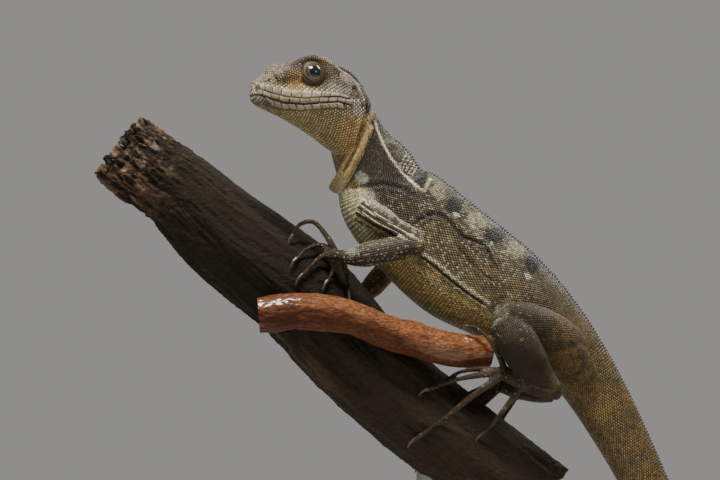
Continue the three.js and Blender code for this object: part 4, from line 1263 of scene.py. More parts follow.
def carved(points, normals):
    """Skin points moved by its small forms: creases, nostrils, ears, mouth and eye sockets.

    A crease is a bell of the distance from its drawn line, pushed in along the normal, with a
    lower bell beside it pushed out. A pit is a bell of the distance from its centre.
    """
    x, y, z = points[:, 0], points[:, 1], points[:, 2] - VENT_HEIGHT
    push = np.zeros(len(points))
    on_side = smooth(2.5, 4, np.abs(y)) * (np.abs(y) < 13)
    for line, _, _, deep, wide in CREASES:
        away, run = off_line(x, z, line)
        ends = smooth(0, 0.12, run) * smooth(1, 0.85, run)
        lip = 0.3 * np.exp(-((away - 2.2 * wide) / wide) ** 2)
        push += on_side * ends * deep * (lip - np.exp(-(away / wide) ** 2))
    back, out, up = head_place(points)
    edge, _ = off_line(back, up, CREST_EDGE)
    on_head = (back > 20) & (back < 40) & (np.abs(out) > 2.5) & (up > -4)
    hollow = np.exp(-(past_line(back, up, CREST_EDGE) - 1.6) ** 2) * smooth(-2, 1, edge)
    push += on_head * (0.35 * np.exp(-(edge / 0.7) ** 2) - 0.7 * hollow)
    for way in (1, -1):
        pit = np.linalg.norm(points - in_head(NOSTRIL[0], NOSTRIL[1] * way, NOSTRIL[2]), axis=-1)
        push -= 0.7 * np.exp(-(pit / 0.5) ** 2)
        ear = np.hypot((back - EAR[0]) / 1.7, (up - EAR[2]) / 2.2) + 5 * (np.abs(out - EAR[1] * way) > 3)
        push -= 0.55 * smooth(1.1, 0.7, ear)
    mouth, run = off_line(back, up, MOUTH_LINE)
    in_cheek = (back < 30) & (np.abs(z - 77) < 22)
    push -= 0.45 * np.exp(-(mouth / 0.35) ** 2) * in_cheek * smooth(1, 0.95, run)
    push += 0.09 * mottle(points, 4.5, 11) * smooth(0, 3, np.abs(y)) * (x < 46)
    moved = points + normals * push[:, None]
    for way in (1, -1):
        centre, outward, _, _ = eye_frame(way)
        away = moved - centre
        reach = np.linalg.norm(away, axis=-1)
        facing = away @ outward / np.maximum(reach, 1e-6)
        sunk = smooth(0.45, 0.7, facing) * (reach < EYE_RADIUS + 2.2)
        floor = np.minimum(reach, EYE_RADIUS - 0.4)
        moved = centre + away * ((reach + (floor - reach) * sunk) / np.maximum(reach, 1e-6))[:, None]
    return moved


def build_skin():
    """All flesh lofted, joined in small cells, smoothed, thinned and given its small forms."""
    hide, cells = settings("hide"), settings("skin")
    parts = []
    for _, sweep, rings, sides, kind in FLESH:
        points, faces, t, angle = sweep.solid(rings, sides, -COAT_DEPTH)
        parts.append((points, faces, TINTS[kind](hide, points, t, angle)))
    points, faces, tint = together(parts)
    lofts = make_piece("lofts", points, faces, None, None, tint)
    join = lofts.modifiers.new("join", "REMESH")
    join.mode, join.voxel_size, join.use_smooth_shade = "VOXEL", cells.voxel, True
    soften = lofts.modifiers.new("soften", "SMOOTH")
    soften.factor, soften.iterations = 0.5, 5
    lofts.modifiers.new("thin", "DECIMATE").ratio = cells.share
    mesh = bpy.data.meshes.new_from_object(evaluated(lofts))
    mesh.name = "skin"
    lofts.modifiers.clear()
    points, normals = points_and_normals(mesh)
    tint, = read_off(lofts, points, ("tint",))
    bpy.data.objects.remove(lofts)
    set_points(mesh, carved(points, normals))
    mesh.update()
    set_tint(mesh, tint)
    mesh.polygons.foreach_set("use_smooth", np.full(len(mesh.polygons), True))
    mesh.materials.clear()
    mesh.materials.append(hide_finish())
    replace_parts(placed("skin", mesh, "skin"), *FLESH_NODES)


# Coats of scales

SPINE_VENT = VENT_STATION / SPINE_STEPS
# The belly's edge, as the sine of the angle round the trunk
BELLY_EDGE = -0.52
# Cells in which skin counts as bare, and the size of the granules that fill it, in mm
GAP_CELL, GAP_SCALE = 0.46, 0.86
SKULL_TOPS = ("brow_left", "brow_right", "nose_hump", "orbit_left", "orbit_right")


def beyond_lips(points, angle=None):
    """True where small head scales grow: off the lips and the eyes."""
    back, _, up = head_place(points)
    mouth, _ = off_line(back, up, MOUTH_LINE)
    over = up > np.interp(back, [p[0] for p in MOUTH_LINE], [p[1] for p in MOUTH_LINE])
    reach = np.where(back > np.where(over, 0.6, 3.4), np.where(over, 3.2, 2.0), 0.45)
    lips = (back < np.where(over, 28.5, 26.2)) & (mouth < reach)
    eye = np.minimum(*(np.linalg.norm(points - eye_frame(way)[0], axis=-1) for way in (1, -1)))
    return ~lips & (eye > EYE_RADIUS + 0.9)


def on_flank(way):
    """A test for scales of one side: over the belly's edge, with a cosine of way's sign."""
    return lambda points, angle: (np.sin(angle) > BELLY_EDGE) & (np.cos(angle) * way >= 0)


def on_belly(points, angle):
    """True for scales under the belly's edge."""
    return np.sin(angle) <= BELLY_EDGE


def spaced(sweep, pitch):
    """Scales round a sweep: one for each pitch of its girth, and not fewer than eight."""
    return lambda t: np.maximum(8, girth_of(sweep, t) / pitch)


def coat_pieces(skin, hide, glossy, dull):
    """Name, finish and coats of each coat piece."""
    flesh = {name: (sweep, kind) for name, sweep, _, _, kind in FLESH}
    body = {"start": 0.02, "end": SPINE_VENT}
    granules = {"shape": "granule", "overlap": 1.05}

    def on(name, pitch=None, count=None, **rest):
        """Scales on one sweep: count of them round it, or one for each pitch of its girth."""
        sweep, kind = flesh[name]
        return coat(skin, sweep, kind, hide, count or spaced(sweep, pitch), seed=len(name), **rest)

    for side, way in (("left", 1), ("right", -1)):
        yield f"scales_flank_{side}", glossy, [
            on("body", count=124, ratio=0.95, keep=on_flank(way), **body),
        ]
    yield "scales_belly", glossy, [
        on("body", count=104, ratio=1.05, keep=on_belly, shape="tile", overlap=1.1, **body),
        on("throat_fold", 0.52, ratio=0.95, shape="granule", overlap=1.15, depth=0.34),
    ]
    yield "scales_tail", glossy, [on("body", 0.72, ratio=1.05, start=SPINE_VENT, overlap=1.15)]
    yield "scales_head", glossy, [
        on("skull", 0.8, ratio=0.95, keep=beyond_lips, end=0.97, depth=0.5, **granules),
        *[on(name, 0.75, ratio=0.95, keep=beyond_lips, depth=0.5, **granules) for name in SKULL_TOPS],
        on("crest", 0.6, ratio=0.9, **granules),
    ]
    yield "scales_limbs", dull, [
        *[on(name, 0.72, ratio=0.95, overlap=1.25, stagger=0 if "arm" in name else 0.5)
          for name in (*LIMBS, "haunch_left", "haunch_right")],
        *[on(name, 0.7, ratio=0.9) for name in PALMS],
    ]
    yield "scales_digits", dull, [
        on(name, 0.7, ratio=0.85, overlap=1.15, depth=0.34) for name in DIGIT_LINES
    ]


def build_coat(skin):
    """Every coat piece, each a joined mesh of scales in rows, and the granules between the rows."""
    hide = settings("hide")
    glossy = scale_finish("scales", 0.36, 0.1)
    dull = scale_finish("limb_scales", 0.42, 0.0, 0.2)
    roots = []
    for name, finish, coats in coat_pieces(skin, hide, glossy, dull):
        points, faces, tint, patches = together(coats)
        make_piece(name, points, faces, finish, "skin", tint, patches)
        roots.append(points[CORNERS - 1::CORNERS])
    points, faces, tint, patches = gap_scales(skin, hide, np.vstack(roots))
    make_piece("scales_gaps", points, faces, dull, "skin", tint, patches)


def gap_scales(skin, hide, roots):
    """Granules on skin that no row reaches: one skin point from each empty cell of a coarse grid."""
    points, normals = points_and_normals(skin.data)
    near = np.array(list(product((-1, 0, 1), repeat=3)))
    keys = np.array([1, 4096, 4096 ** 2])
    taken = (np.floor(roots / GAP_CELL).astype(int)[:, None] + near) @ keys
    free = ~np.isin(np.floor(points / GAP_CELL).astype(int) @ keys, np.unique(taken))
    back, out, up = head_place(points)
    on_head = (back > -2) & (back < 31) & (up > -12) & (np.abs(out) < 12)
    free &= ~on_head | beyond_lips(points)
    chosen = np.flatnonzero(free)
    cell = np.floor(points[chosen] / (0.6 * GAP_SCALE)).astype(int) @ keys
    chosen = chosen[np.unique(cell, return_index=True)[1]]
    points, normals = points[chosen], normals[chosen]
    rng = np.random.default_rng(77)
    tint = vectors(skin.data.attributes["tint"].data, "vector")[chosen]
    tint = flecked(hide, tint, points, (0.1, 0.1), rng)
    along = unit(np.cross(normals, [0.3, 1.0, 0.2]))
    size = np.full(len(points), GAP_SCALE)
    place = np.stack([np.mod(points[:, 0] / 300 + 0.5, 1), np.mod(points[:, 2] / 400, 1)], -1)
    return set_scales(points, along, normals, size, size, tint, "granule", place, rng, 0.5)


# Plates of the lips and the crest of scales along the back

def skull_out(back, up):
    """How far out the head's side is at a place seen from the side: the section solved for across."""
    table = np.array(SKULL_STATIONS)
    middle, wide, rise, drop = (np.interp(back, table[:, 0], table[:, k]) for k in (2, 3, 4, 5))
    over = up - middle
    crown = np.clip(over / rise, 0, 0.98) ** (1 / CROWN_POWER)
    s = np.where(over > 0, crown, np.clip(over / drop, -0.98, 0))
    return wide * np.sqrt(1 - s * s) ** CHEEK_POWER * cheek_taper(s)


def shifted(line, rise):
    """A drawn line moved up."""
    return [[back, up + rise] for back, up in line]


def halved(quads):
    """Two triangles for each face of four corners."""
    return np.vstack([quads[:, [0, 1, 2]], quads[:, [0, 2, 3]]])


def twice(values):
    """The values of a grid as a list, for a sheet's outer points and again for its inner ones."""
    return np.tile(values.reshape(-1, values.shape[-1]), (2, 1))


def lip_plates(row, way, hide, rng):
    """Plates in a row along the jaw, each a pillow on a grid that follows the head's side.

    The pillow's height is one less the eighth power of the place along, times one less the sixth
    power of the place across. Its underside lies half a millimetre inside the head.
    """
    edges, low, high, slant, swell, proud, pale = row
    u, v = np.meshgrid(np.linspace(-1, 1, 9), np.linspace(-1, 1, 7), indexing="ij")
    pillow = (1 - u ** 8) * (1 - v ** 6)
    share = 0.5 + 0.5 * v * 0.985
    parts = []
    for start, end in zip(edges, edges[1:]):
        middle, half = (start + end) / 2, (end - start) / 2 - 0.02
        back = middle + u * half + (slant + 0.25 * np.sin(7 * middle + 3 * u)) * (share - 0.5)
        bottom, top = np.interp(back, *np.transpose(low)), np.interp(back, *np.transpose(high))
        up = bottom + (top - bottom) * share
        lift = swell * pillow - 0.1 + proud * smooth(16, 21, back)
        outer = in_head(back, (skull_out(back, up) + lift) * way, up)
        inner = in_head(back, (skull_out(back, up) - 0.5) * way, up)
        # Random tone, darker towards the plate's edges: painted shade in the seams between plates
        tone_and_painted_shade = (1 + 0.14 * rng.standard_normal()) * (0.3 + 0.7 * pillow)
        tint = varied(hide.lip, tone_and_painted_shade * (1 + 0.3 * mottle(outer, 1.5, 12) + 0.2 * mottle(outer, 0.5, 14)))
        # Paler towards the plate's upper side and middle: partly the plates' own pale colour, partly a
        # painted highlight
        pale_and_highlight = smooth(0.0, 0.9, v + 0.5 * mottle(outer, 1.2, 15)) * (0.3 + 0.7 * pillow)
        tint = blend(tint, hide.stripe, pale * 0.62 * pale_and_highlight)
        place = np.stack([back / 40 + 0.2, (up + 12) / 30 + (way < 0) * 0.5], -1)
        parts.append((*box_sheet(outer, inner, way > 0), twice(tint), twice(place)))
    return together(parts)


def box_sheet(outer, inner, turned_over):
    """Points and triangles of a closed slab between two grids of the same size."""
    rows, columns = outer.shape[:2]
    number = np.arange(rows * columns).reshape(rows, columns)
    a, b, c, d = number[:-1, :-1], number[1:, :-1], number[1:, 1:], number[:-1, 1:]
    quads = np.stack([a, b, c, d], -1).reshape(-1, 4)
    rim = np.concatenate([number[:-1, 0], number[-1, :-1], number[:0:-1, -1], number[0, :0:-1]])
    onward = np.roll(rim, -1)
    under = rows * columns
    walls = np.stack([rim, rim + under, onward + under, onward], -1)
    quads = np.vstack([quads, quads[:, ::-1] + under, walls])
    faces = halved(quads)
    points = np.vstack([outer.reshape(-1, 3), inner.reshape(-1, 3)])
    return points, faces[:, ::-1] if turned_over else faces


UPPER_EDGES = [0.45, 1.9, 4.1, 6.6, 9.5, 12.5, 15.4, 18.2, 21, 23.8, 26.4, 28.6]
LOWER_EDGES = [3.6, 5.6, 7.8, 9.9, 12.1, 14.3, 16.5, 18.8, 21.2, 23.6, 26]
LIP_TOP = shifted(MOUTH_LINE, 1.65)
# Upper lip, the pale row above it and lower lip: the plates' edges back from the snout, the lines
# under and over them, their slant and swelling, how far the rear ones stand out, and how pale their
# upper parts are made, partly their own pale colour and partly a painted highlight
LIP_ROWS = [
    (UPPER_EDGES, shifted(MOUTH_LINE, 0.16), LIP_TOP, 0.3, 0.14, 0, 0.12),
    ([edge + 0.8 for edge in UPPER_EDGES[:-1]], shifted(LIP_TOP, 0.1), LIP_STRIPE, 0.5, 0.08, 0.35, 1),
    (LOWER_EDGES, shifted(MOUTH_LINE, -1.65), shifted(MOUTH_LINE, -0.18), -1.3, 0.14, 0, 0.6),
]


def build_lips():
    """Three rows of plates on each side of the head."""
    hide, rng = settings("hide"), np.random.default_rng(21)
    finish = scale_finish("lip_plates", 0.26, 0.25)
    points, faces, tint, patches = together([
        lip_plates(row, way, hide, rng) for way in (1, -1) for row in LIP_ROWS
    ])
    make_piece("lip_plates", points, faces, finish, "skin", tint, patches)


# The back's crest: the stations of the spine it runs between, and the step from tooth to tooth
CREST_FROM, CREST_TO, CREST_PITCH = 1.6, 12.6, 0.95
# A tooth: its sides, half its length and width, how deep it is sunk, how far its tip leans back
TOOTH_SIDES, TOOTH_LONG, TOOTH_WIDE, TOOTH_SUNK, TOOTH_LEAN = 6, 0.66, 0.3, 0.7, 0.45


def build_back_crest():
    """A row of leaning saw teeth on the midline: each a thin cone of six sides, sunk in the back."""
    hide, rng = settings("hide"), np.random.default_rng(31)
    t = np.linspace(CREST_FROM, CREST_TO, 900) / SPINE_STEPS
    top = SPINE.point(t, TURN / 4)
    walked = np.concatenate([[0], np.cumsum(np.linalg.norm(np.diff(top, axis=0), axis=-1))])
    spot = np.interp(np.arange(0, walked[-1], CREST_PITCH), walked, t)
    _, along, left, up, _ = SPINE.frame(spot)
    station = spot * SPINE_STEPS
    tall = 0.28 + 0.5 * smooth(9.5, 6.5, station) * smooth(1.2, 2.6, station)
    tall = tall * (1 + 0.12 * rng.standard_normal(len(spot)))
    ring, rim = TURN * np.arange(TOOTH_SIDES) / TOOTH_SIDES, np.arange(TOOTH_SIDES)
    base = [TOOTH_LONG * np.cos(ring), TOOTH_WIDE * np.sin(ring), np.full(TOOTH_SIDES, -TOOTH_SUNK)]
    shape = np.vstack([np.stack(base, -1), [0, 0, 1], [0, 0, -1]])
    tip, foot, corners = TOOTH_SIDES, TOOTH_SIDES + 1, len(shape)
    points = SPINE.point(spot, TURN / 4)[:, None] + (
        shape[None, :, 0, None] * along[:, None]
        + shape[None, :, 1, None] * left[:, None]
        + (shape[None, :, 2] * tall[:, None])[..., None] * up[:, None]
    )
    points[:, tip] += along * TOOTH_LEAN
    cone = np.vstack([
        np.stack([np.full(TOOTH_SIDES, tip), np.roll(rim, -1), rim], -1),
        np.stack([np.full(TOOTH_SIDES, foot), rim, np.roll(rim, -1)], -1),
    ])
    faces = (cone[None] + corners * np.arange(len(spot))[:, None, None]).reshape(-1, 3)
    tint = np.array(hide.saddle) * (1 + 0.3 * rng.standard_normal((len(spot), 1, 1)))
    tint = np.repeat(np.clip(tint, 0.01, 1), corners, axis=1)
    tint[:, tip] *= 3
    place = np.repeat(np.stack([spot, np.full(len(spot), 0.5)], -1), corners, axis=0)
    place += np.tile(shape[:, :2] * 0.0015, (len(spot), 1))
    finish = scale_finish("crest_scales", 0.4, 0.1)
    make_piece("crest_scales", points.reshape(-1, 3), faces, finish, "skin", tint.reshape(-1, 3), place)


# Eyes and lids

# The lids' edge, as a swing away from the line of sight, where they begin under it, and how much
# further both lie at the eye's corners
LID_OPENING, LID_START, LID_CORNERS = 0.80, 0.74, 0.05


def globe_finish(centre, outward):
    """A dark pupil in a thin gold-brown iris under a clear wet surface.

    The rings are steps of the cosine between the line of sight and the line to a place.
    """
    choice, paint = settings("eye"), Paint("eye")
    away = paint.vector("SUBTRACT", paint.place(), tuple(centre * MM), 0)
    facing = paint.vector("DOT_PRODUCT", away, tuple(outward)) / paint.vector("LENGTH", away)
    iris = paint.mixed(paint.noise(0.25, 3.0), rgba(choice.iris), rgba(choice.streaks))
    iris = paint.mixed(1 - facing.above(0.835, 0.85), rgba(choice.rim), iris)
    shade = paint.mixed(1 - facing.above(0.70, 0.75), iris, rgba(choice.edge))
    return paint.finished({
        "Base Color": paint.mixed(facing.above(0.855, 0.87), shade, rgba(choice.pupil)),
        "Roughness": 0.18, "Coat Weight": 0.25, "Coat Roughness": 0.08,
    })


def round_sight(outward, level, upright, swing, turn, stretch=1):
    """Directions a swing away from the line of sight and a turn round it."""
    across = np.cos(turn)[..., None] * level + np.sin(turn)[..., None] * upright
    return np.cos(swing)[..., None] * outward + (np.sin(swing) * stretch)[..., None] * across


def build_eyes():
    """Eyeballs: a sphere with a low bulge in front, as turns round the line of sight."""
    rings, sides = 47, 64
    swing, turn = grid(np.linspace(0, math.pi, rings + 2)[1:-1], sides)
    radius = (EYE_RADIUS - 0.08 + 0.22 * smooth(0.75, 0.1, swing))[..., None]
    for side, way in (("left", 1), ("right", -1)):
        centre, outward, level, upright = eye_frame(way)
        wall = centre + radius * round_sight(outward, level, upright, swing, turn)
        poles = np.stack([centre + outward * (EYE_RADIUS + 0.14), centre - outward * (EYE_RADIUS - 0.08)])
        points, faces = wrapped(wall.reshape(-1, 3), poles, rings, sides)
        eye = make_piece(f"eye_{side}_globe", points, faces, globe_finish(centre, outward), "eye")
        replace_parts(eye, f"eye_{side}")


def lid_profile(past, turn):
    """Height of the lids over the eyeball: a bead at the rim, a furrow, a second low fold.

    Each is a bell of the swing past the rim; granules are a product of sines.
    """
    bead = 0.2 * np.exp(-((past - 0.05) / 0.04) ** 2)
    fold = 0.26 * np.exp(-((past - 0.3) / 0.1) ** 2)
    rows = np.sin(np.pi * past / 0.11) * np.sin(turn * 34 + np.pi / 2 * np.floor(past / 0.11))
    granules = 0.1 * np.abs(rows) * smooth(0.1, 0.16, past)
    return 0.1 + bead + fold + granules - 1.6 * smooth(0.55, 0.85, past)


def build_lids():
    """Eyelids: a grid of turns round the line of sight, over the eyeball and down into the head, with painted
    light and shade.
    """
    hide = settings("hide")
    share, turn = grid(np.linspace(0, 1, 60), 220)
    swing = LID_START + LID_CORNERS * np.cos(2 * turn) + share * 0.95
    past = swing - (LID_OPENING + LID_CORNERS * np.cos(2 * turn))
    height = lid_profile(past, turn)
    radius = (EYE_RADIUS + np.where(past < 0.02, 0.0, height) - 0.1)[..., None]
    stretch = 1 + 0.16 * np.abs(np.cos(turn)) * smooth(0.8, 1.5, swing)
    # Painted light and shade: raised bead and fold lighter, the furrow and the rim's edge darker
    dip = np.exp(-((past - 0.2) / 0.05) ** 2) + smooth(0.02, -0.02, past)
    shade = (0.9 + 2.2 * (height - 0.35)) * (1 - 0.7 * np.clip(dip, 0, 1))
    parts = []
    for way in (1, -1):
        centre, outward, level, upright = eye_frame(way)
        direction = round_sight(outward, level, upright, swing, turn, stretch)
        outer, inner = centre + radius * direction, centre + (radius - 0.5) * direction
        gold = smooth(0.2, 0.1, past) * (0.3 + 0.7 * smooth(0, 0.8, 0.8 * np.sin(turn) - way * np.cos(turn)))
        tint = painted(np.broadcast_to(np.array(hide.temple), outer.shape), [
            (hide.crown, smooth(0.5, 0.8, past)),
            (hide.crest, 0.5 * smooth(0.2, 0.3, past) * smooth(0.55, 0.4, past)),
            (hide.limb, 0.8 * smooth(0.2, 0.1, past)),
            (hide.ochre, gold * 0.4),
        ]) * np.clip(shade, 0.15, 1.6)[..., None]
        place = np.stack([share, turn / TURN], -1) * 0.48 + (0.5 if way < 0 else 0)
        parts.append((*ring_sheet(outer, inner), twice(tint), twice(place)))
    points, faces, tint, patches = together(parts)
    make_piece("eyelids", points, faces, scale_finish("lids", 0.42, 0.15), "skin", tint, patches)


def ring_sheet(outer, inner):
    """Points and triangles of a closed sleeve between two grids that close round in turn."""
    rings, sides = outer.shape[:2]
    number = np.arange(rings * sides).reshape(rings, sides)
    onward = np.roll(number, -1, axis=1)
    under = rings * sides
    face = np.stack([number[:-1], number[1:], onward[1:], onward[:-1]], -1).reshape(-1, 4)
    first = np.stack([number[0], onward[0], onward[0] + under, number[0] + under], -1)
    last = np.stack([onward[-1], number[-1], number[-1] + under, onward[-1] + under], -1)
    quads = np.vstack([face, face[:, ::-1] + under, first, last])
    return np.vstack([outer.reshape(-1, 3), inner.reshape(-1, 3)]), halved(quads)


def build_claws():
    """Claws: hooked cones at the digits' tips."""
    paint = Paint("claw")
    grain = paint.noise(0.3, 2.0)
    finish = paint.finished({
        "Base Color": paint.mixed(grain, (0.03, 0.022, 0.016, 1), (0.085, 0.06, 0.043, 1)),
        "Roughness": 0.25 + grain * 0.15, "Coat Weight": 0.3,
    })
    lofts = [Sweep(raised(claw_stations(line))).solid(12, 10)[:2] for line in DIGIT_LINES.values()]
    points, faces = together(lofts)
    make_piece("claws", points, faces, finish, "claw")


# Branch, stem and stand

def closed_loft(sweep, rings, sides, end_rings):
    """Points, faces, shares, angles and nearness to the wall of a sweep with closed flat ends.

    Past each end the wall's points move to the line by the same share that they overshoot.
    """
    over = np.linspace(1, 0, end_rings + 1)[1:-1]
    share = np.concatenate([1 - over, np.ones(rings + 1), over])
    t = np.concatenate([np.zeros(len(over)), np.linspace(0, 1, rings + 1), np.ones(len(over))])
    t, angle = grid(t, sides)
    share = np.broadcast_to(share[:, None], t.shape)
    line = sweep.frame(t)[0]
    wall = line + (sweep.point(t, angle) - line) * share[..., None]
    poles = sweep.frame(np.array([0.0, 1.0]))[0]
    points, faces = wrapped(wall.reshape(-1, 3), poles, len(t), sides)
    return points, faces, np.append(t, [0, 1]), np.append(angle, [0, 0]), np.append(share, [0, 0])


def build_branch():
    """The thick branch: its sweep pushed in and out by ridged noise, drawn out along the grain."""
    choice = settings("perch")
    points, faces, t, angle, share = closed_loft(BRANCH, 460, 240, 24)
    grain = np.stack([t * 160 * 0.25, 14 * share * np.cos(angle), 14 * share * np.sin(angle)], -1)
    ridges = 1 - np.abs(mottle(grain, 2.4, 41, 4))
    plates = smooth(0.1, 0.5, mottle(grain, 8, 42, 3))
    push = 1.1 * (ridges - 0.8) + 0.6 * plates - 0.9 * smooth(0.3, 0.7, mottle(grain, 5, 43)) - 0.2
    push += 0.25 * mottle(points, 0.9, 47, 2)
    push = np.clip(push, -2, 0.8) * (0.55 + 0.45 * smooth(0.3, 0.1, t))
    splinters = np.clip(3.4 * mottle(grain * (0.05, 1, 1), 3.2, 44, 4) + 1.2, -1, 5)
    near_end = smooth(0.04, 0, t) - smooth(0.96, 1, t)
    points = points + BRANCH.outward(t, angle) * (push * share ** 3)[:, None]
    points = points + BRANCH.frame(t)[1] * (near_end * splinters)[:, None]
    warm = smooth(0.35, 0.03, t) * 0.8 + 0.4 * smooth(0.1, 0.5, mottle(grain, 12, 45)) * smooth(0.8, 0.5, t)
    worn = smooth(0.3, 0.9, mottle(grain, 1.6, 46)) * smooth(0.3, 0.03, t)
    # Painted light: the lower part of the branch made up to 1.9 times lighter
    tint = painted(varied(choice.bark, 1 + 0.9 * smooth(0.5, 0.7, t)), [
        (choice.warm_bark, warm * smooth(-0.3, 0.4, push)), (choice.worn_bark, 0.75 * worn),
    ])
    paint = Paint("bark")
    grit, pores = paint.noise(0.5, 6.0), paint.noise(2.2, 4.0)
    finish = paint.finished({
        "Base Color": paint.mixed(grit.above(0.4, 0.8) * 0.6, paint.stored("tint"), (0.008, 0.006, 0.005, 1)),
        "Roughness": 0.75 + pores * 0.25, "Specular IOR Level": 0.12,
        "Normal": paint.bump(grit + pores * 0.6, 0.5),
    })
    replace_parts(make_piece("branch_bark", points, faces, finish, "bark", tint), "branch")


def build_stem():
    """The thin stem: its sweep with long low flutes, painted shade on its underside, under a wet gloss."""
    choice = settings("perch")
    points, faces, t, angle, share = closed_loft(STEM, 260, 96, 12)
    grain = np.stack([t * 74 * 0.3, 5 * np.cos(angle), 5 * np.sin(angle)], -1)
    push = 0.6 * mottle(grain, 3.6, 51, 4) + 0.12 * mottle(grain, 0.8, 52, 2)
    points = points + STEM.outward(t, angle) * ((push - 0.1) * share ** 3)[:, None]
    # Painted shade: darker on the underside, and darker towards the left end
    shade = smooth(0.6, -0.9, np.sin(angle) + 1.1 * mottle(grain, 3, 53)) + 0.5 * smooth(0.4, 0.05, t)
    tint = blend(np.broadcast_to(np.array(choice.stem), points.shape), choice.stem_shade, 0.8 * shade)
    paint = Paint("stem_bark")
    cloud = paint.noise(5.0, 4.0)
    fine = paint.noise(0.5, 5.0, paint.place((0, 0.28, 0), (0.3, 1, 1)))
    warm = paint.mixed(cloud.above(0.3, 0.7) * 0.35, paint.stored("tint"), (0.06, 0.017, 0.006, 1))
    finish = paint.finished({
        "Base Color": paint.mixed(fine.above(0.42, 0.62) * 0.7, warm, (0.03, 0.008, 0.003, 1)),
        "Roughness": 0.5 + fine * 0.2, "Specular IOR Level": 0.15, "Coat Roughness": 0.15,
        "Coat Weight": paint.stored("tint").above(0.04, 0.09) * 0.7,
        "Normal": paint.bump(fine + cloud * 2, 0.35),
    })
    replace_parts(make_piece("stem", points, faces, finish, "stem_bark", tint), "branch_stem")


def turned(profile, sides):
    """Points and triangles of a closed solid: (radius, height) pairs turned about the upright axis."""
    profile = np.array(profile, float)
    radius, turn = grid(profile[1:-1, 0], sides)
    height, _ = grid(profile[1:-1, 1], sides)
    wall = np.stack([radius * np.cos(turn), radius * np.sin(turn), height], -1).reshape(-1, 3)
    poles = np.array([[0, 0, profile[0, 1]], [0, 0, profile[-1, 1]]])
    points, faces = wrapped(wall, poles, len(profile) - 2, sides)
    return points, faces[:, ::-1]


def smooth_by_angle(piece):
    """Marks edges of over 35 degrees as sharp, so that flats stay flat beside rounds."""
    piece.data.set_sharp_from_angle(angle=math.radians(35))


# Depths, in mm: from the boss's top down to the base's, of the rod's hole, and of the rod in it
BOSS, HOLE, SUNK = 4, 5.5, 5.6
# How much wider the hole is than the rod, all round
PLAY = 0.3


def build_base():
    """A turned wooden base with a rounded edge, a boss and a hole for the rod."""
    choice, top, floor = settings("perch"), BASE_HEIGHT - BOSS, BASE_HEIGHT - HOLE
    profile = [
        (0, 0), (30, 0), (BASE_RADIUS - 1, 0), (BASE_RADIUS - 0.2, 0.3), (BASE_RADIUS, 1),
        *[(BASE_RADIUS - 2 + 2 * math.sin(a), top - 2 + 2 * math.cos(a))
          for a in np.linspace(TURN / 4, 0, 9)],
        (50, top), (30, top), (10.5, top), (9.6, top + 0.4), (9.1, top + 1.2),
        (8.4, BASE_HEIGHT - 0.5), (7.8, BASE_HEIGHT), (ROD_RADIUS + PLAY, BASE_HEIGHT),
        (ROD_RADIUS + PLAY, floor), (0, floor),
    ]
    paint = Paint("stand_wood")
    place = paint.place(None, (1.0, 9.0, 9.0))
    grain, pores = paint.noise(22, 5.0, place, 1.2), paint.noise(1.2, 3.0, place)
    wood = paint.mixed(grain.above(0.35, 0.65), rgba(choice.wood), rgba(choice.light_wood))
    finish = paint.finished({
        "Base Color": paint.mixed(pores.above(0.55, 0.75) * 0.5, wood, (0.02, 0.012, 0.008, 1)),
        "Roughness": 0.3 + pores * 0.25, "Coat Weight": 0.25, "Coat Roughness": 0.2,
        "Normal": paint.bump(pores, 0.05),
    })
    base = make_piece("base", *turned(profile, 160), finish, "stand_wood")
    smooth_by_angle(base)
    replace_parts(base, "stand_base")


def build_rod():
    """A brushed steel rod that stands in the base."""
    choice, bottom, top = settings("perch"), BASE_HEIGHT - SUNK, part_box("stand_rod")[1].z / MM
    heights = [bottom, *np.linspace(bottom + 1, top - 1, 40), top]
    profile = [(0, bottom), *[(ROD_RADIUS, height) for height in heights], (0, top)]
    paint = Paint("stand_steel")
    lines = paint.noise(0.6, 3.0, paint.place(None, (6.0, 6.0, 0.3)))
    finish = paint.finished({
        "Base Color": paint.mixed(lines, rgba(choice.steel), rgba(choice.light_steel)),
        "Metallic": 1.0, "Roughness": 0.25 + lines * 0.15, "Normal": paint.bump(lines, 0.01),
    })
    rod = make_piece("rod", *turned(profile, 64), finish, "stand_steel")
    smooth_by_angle(rod)
    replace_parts(rod, "stand_rod")


# Stage

# Area lights: name, place from the animal's middle and width in metres, and power in watts
LIGHTS = [
    ("top_light", (-0.2, -0.45, 1.2), 0.45, 36), ("side_light", (1.1, -0.9, 0.5), 0.5, 3),
    ("back_light", (0.7, 0.8, 0.8), 0.5, 12),
]
# Height of the animal's middle above the vent, and how far the floor lies under the base, in mm
MIDDLE, FLOOR_GAP, FLOOR_DEPTH = 20, 0.05, 4


def build_stage():
    """A pale round floor, the lights and the photo's camera."""
    choice = settings("stage")
    build_floor(choice)
    build_lights()
    build_camera(choice)


def build_floor(choice):
    """A thin disc of matt grey just under the base."""
    radius = choice.floor_radius / MM
    profile = [(0, -FLOOR_DEPTH), (radius, -FLOOR_DEPTH), (radius, -FLOOR_GAP), (0, -FLOOR_GAP)]
    paint = Paint("studio_floor")
    cloud = paint.noise(90, 3.0)
    finish = paint.finished({
        "Base Color": paint.mixed(cloud * 0.06, rgba(choice.floor), (0.5, 0.49, 0.47, 1)), "Roughness": 0.75,
    })
    make_piece("floor", *turned(profile, 96), finish, None)


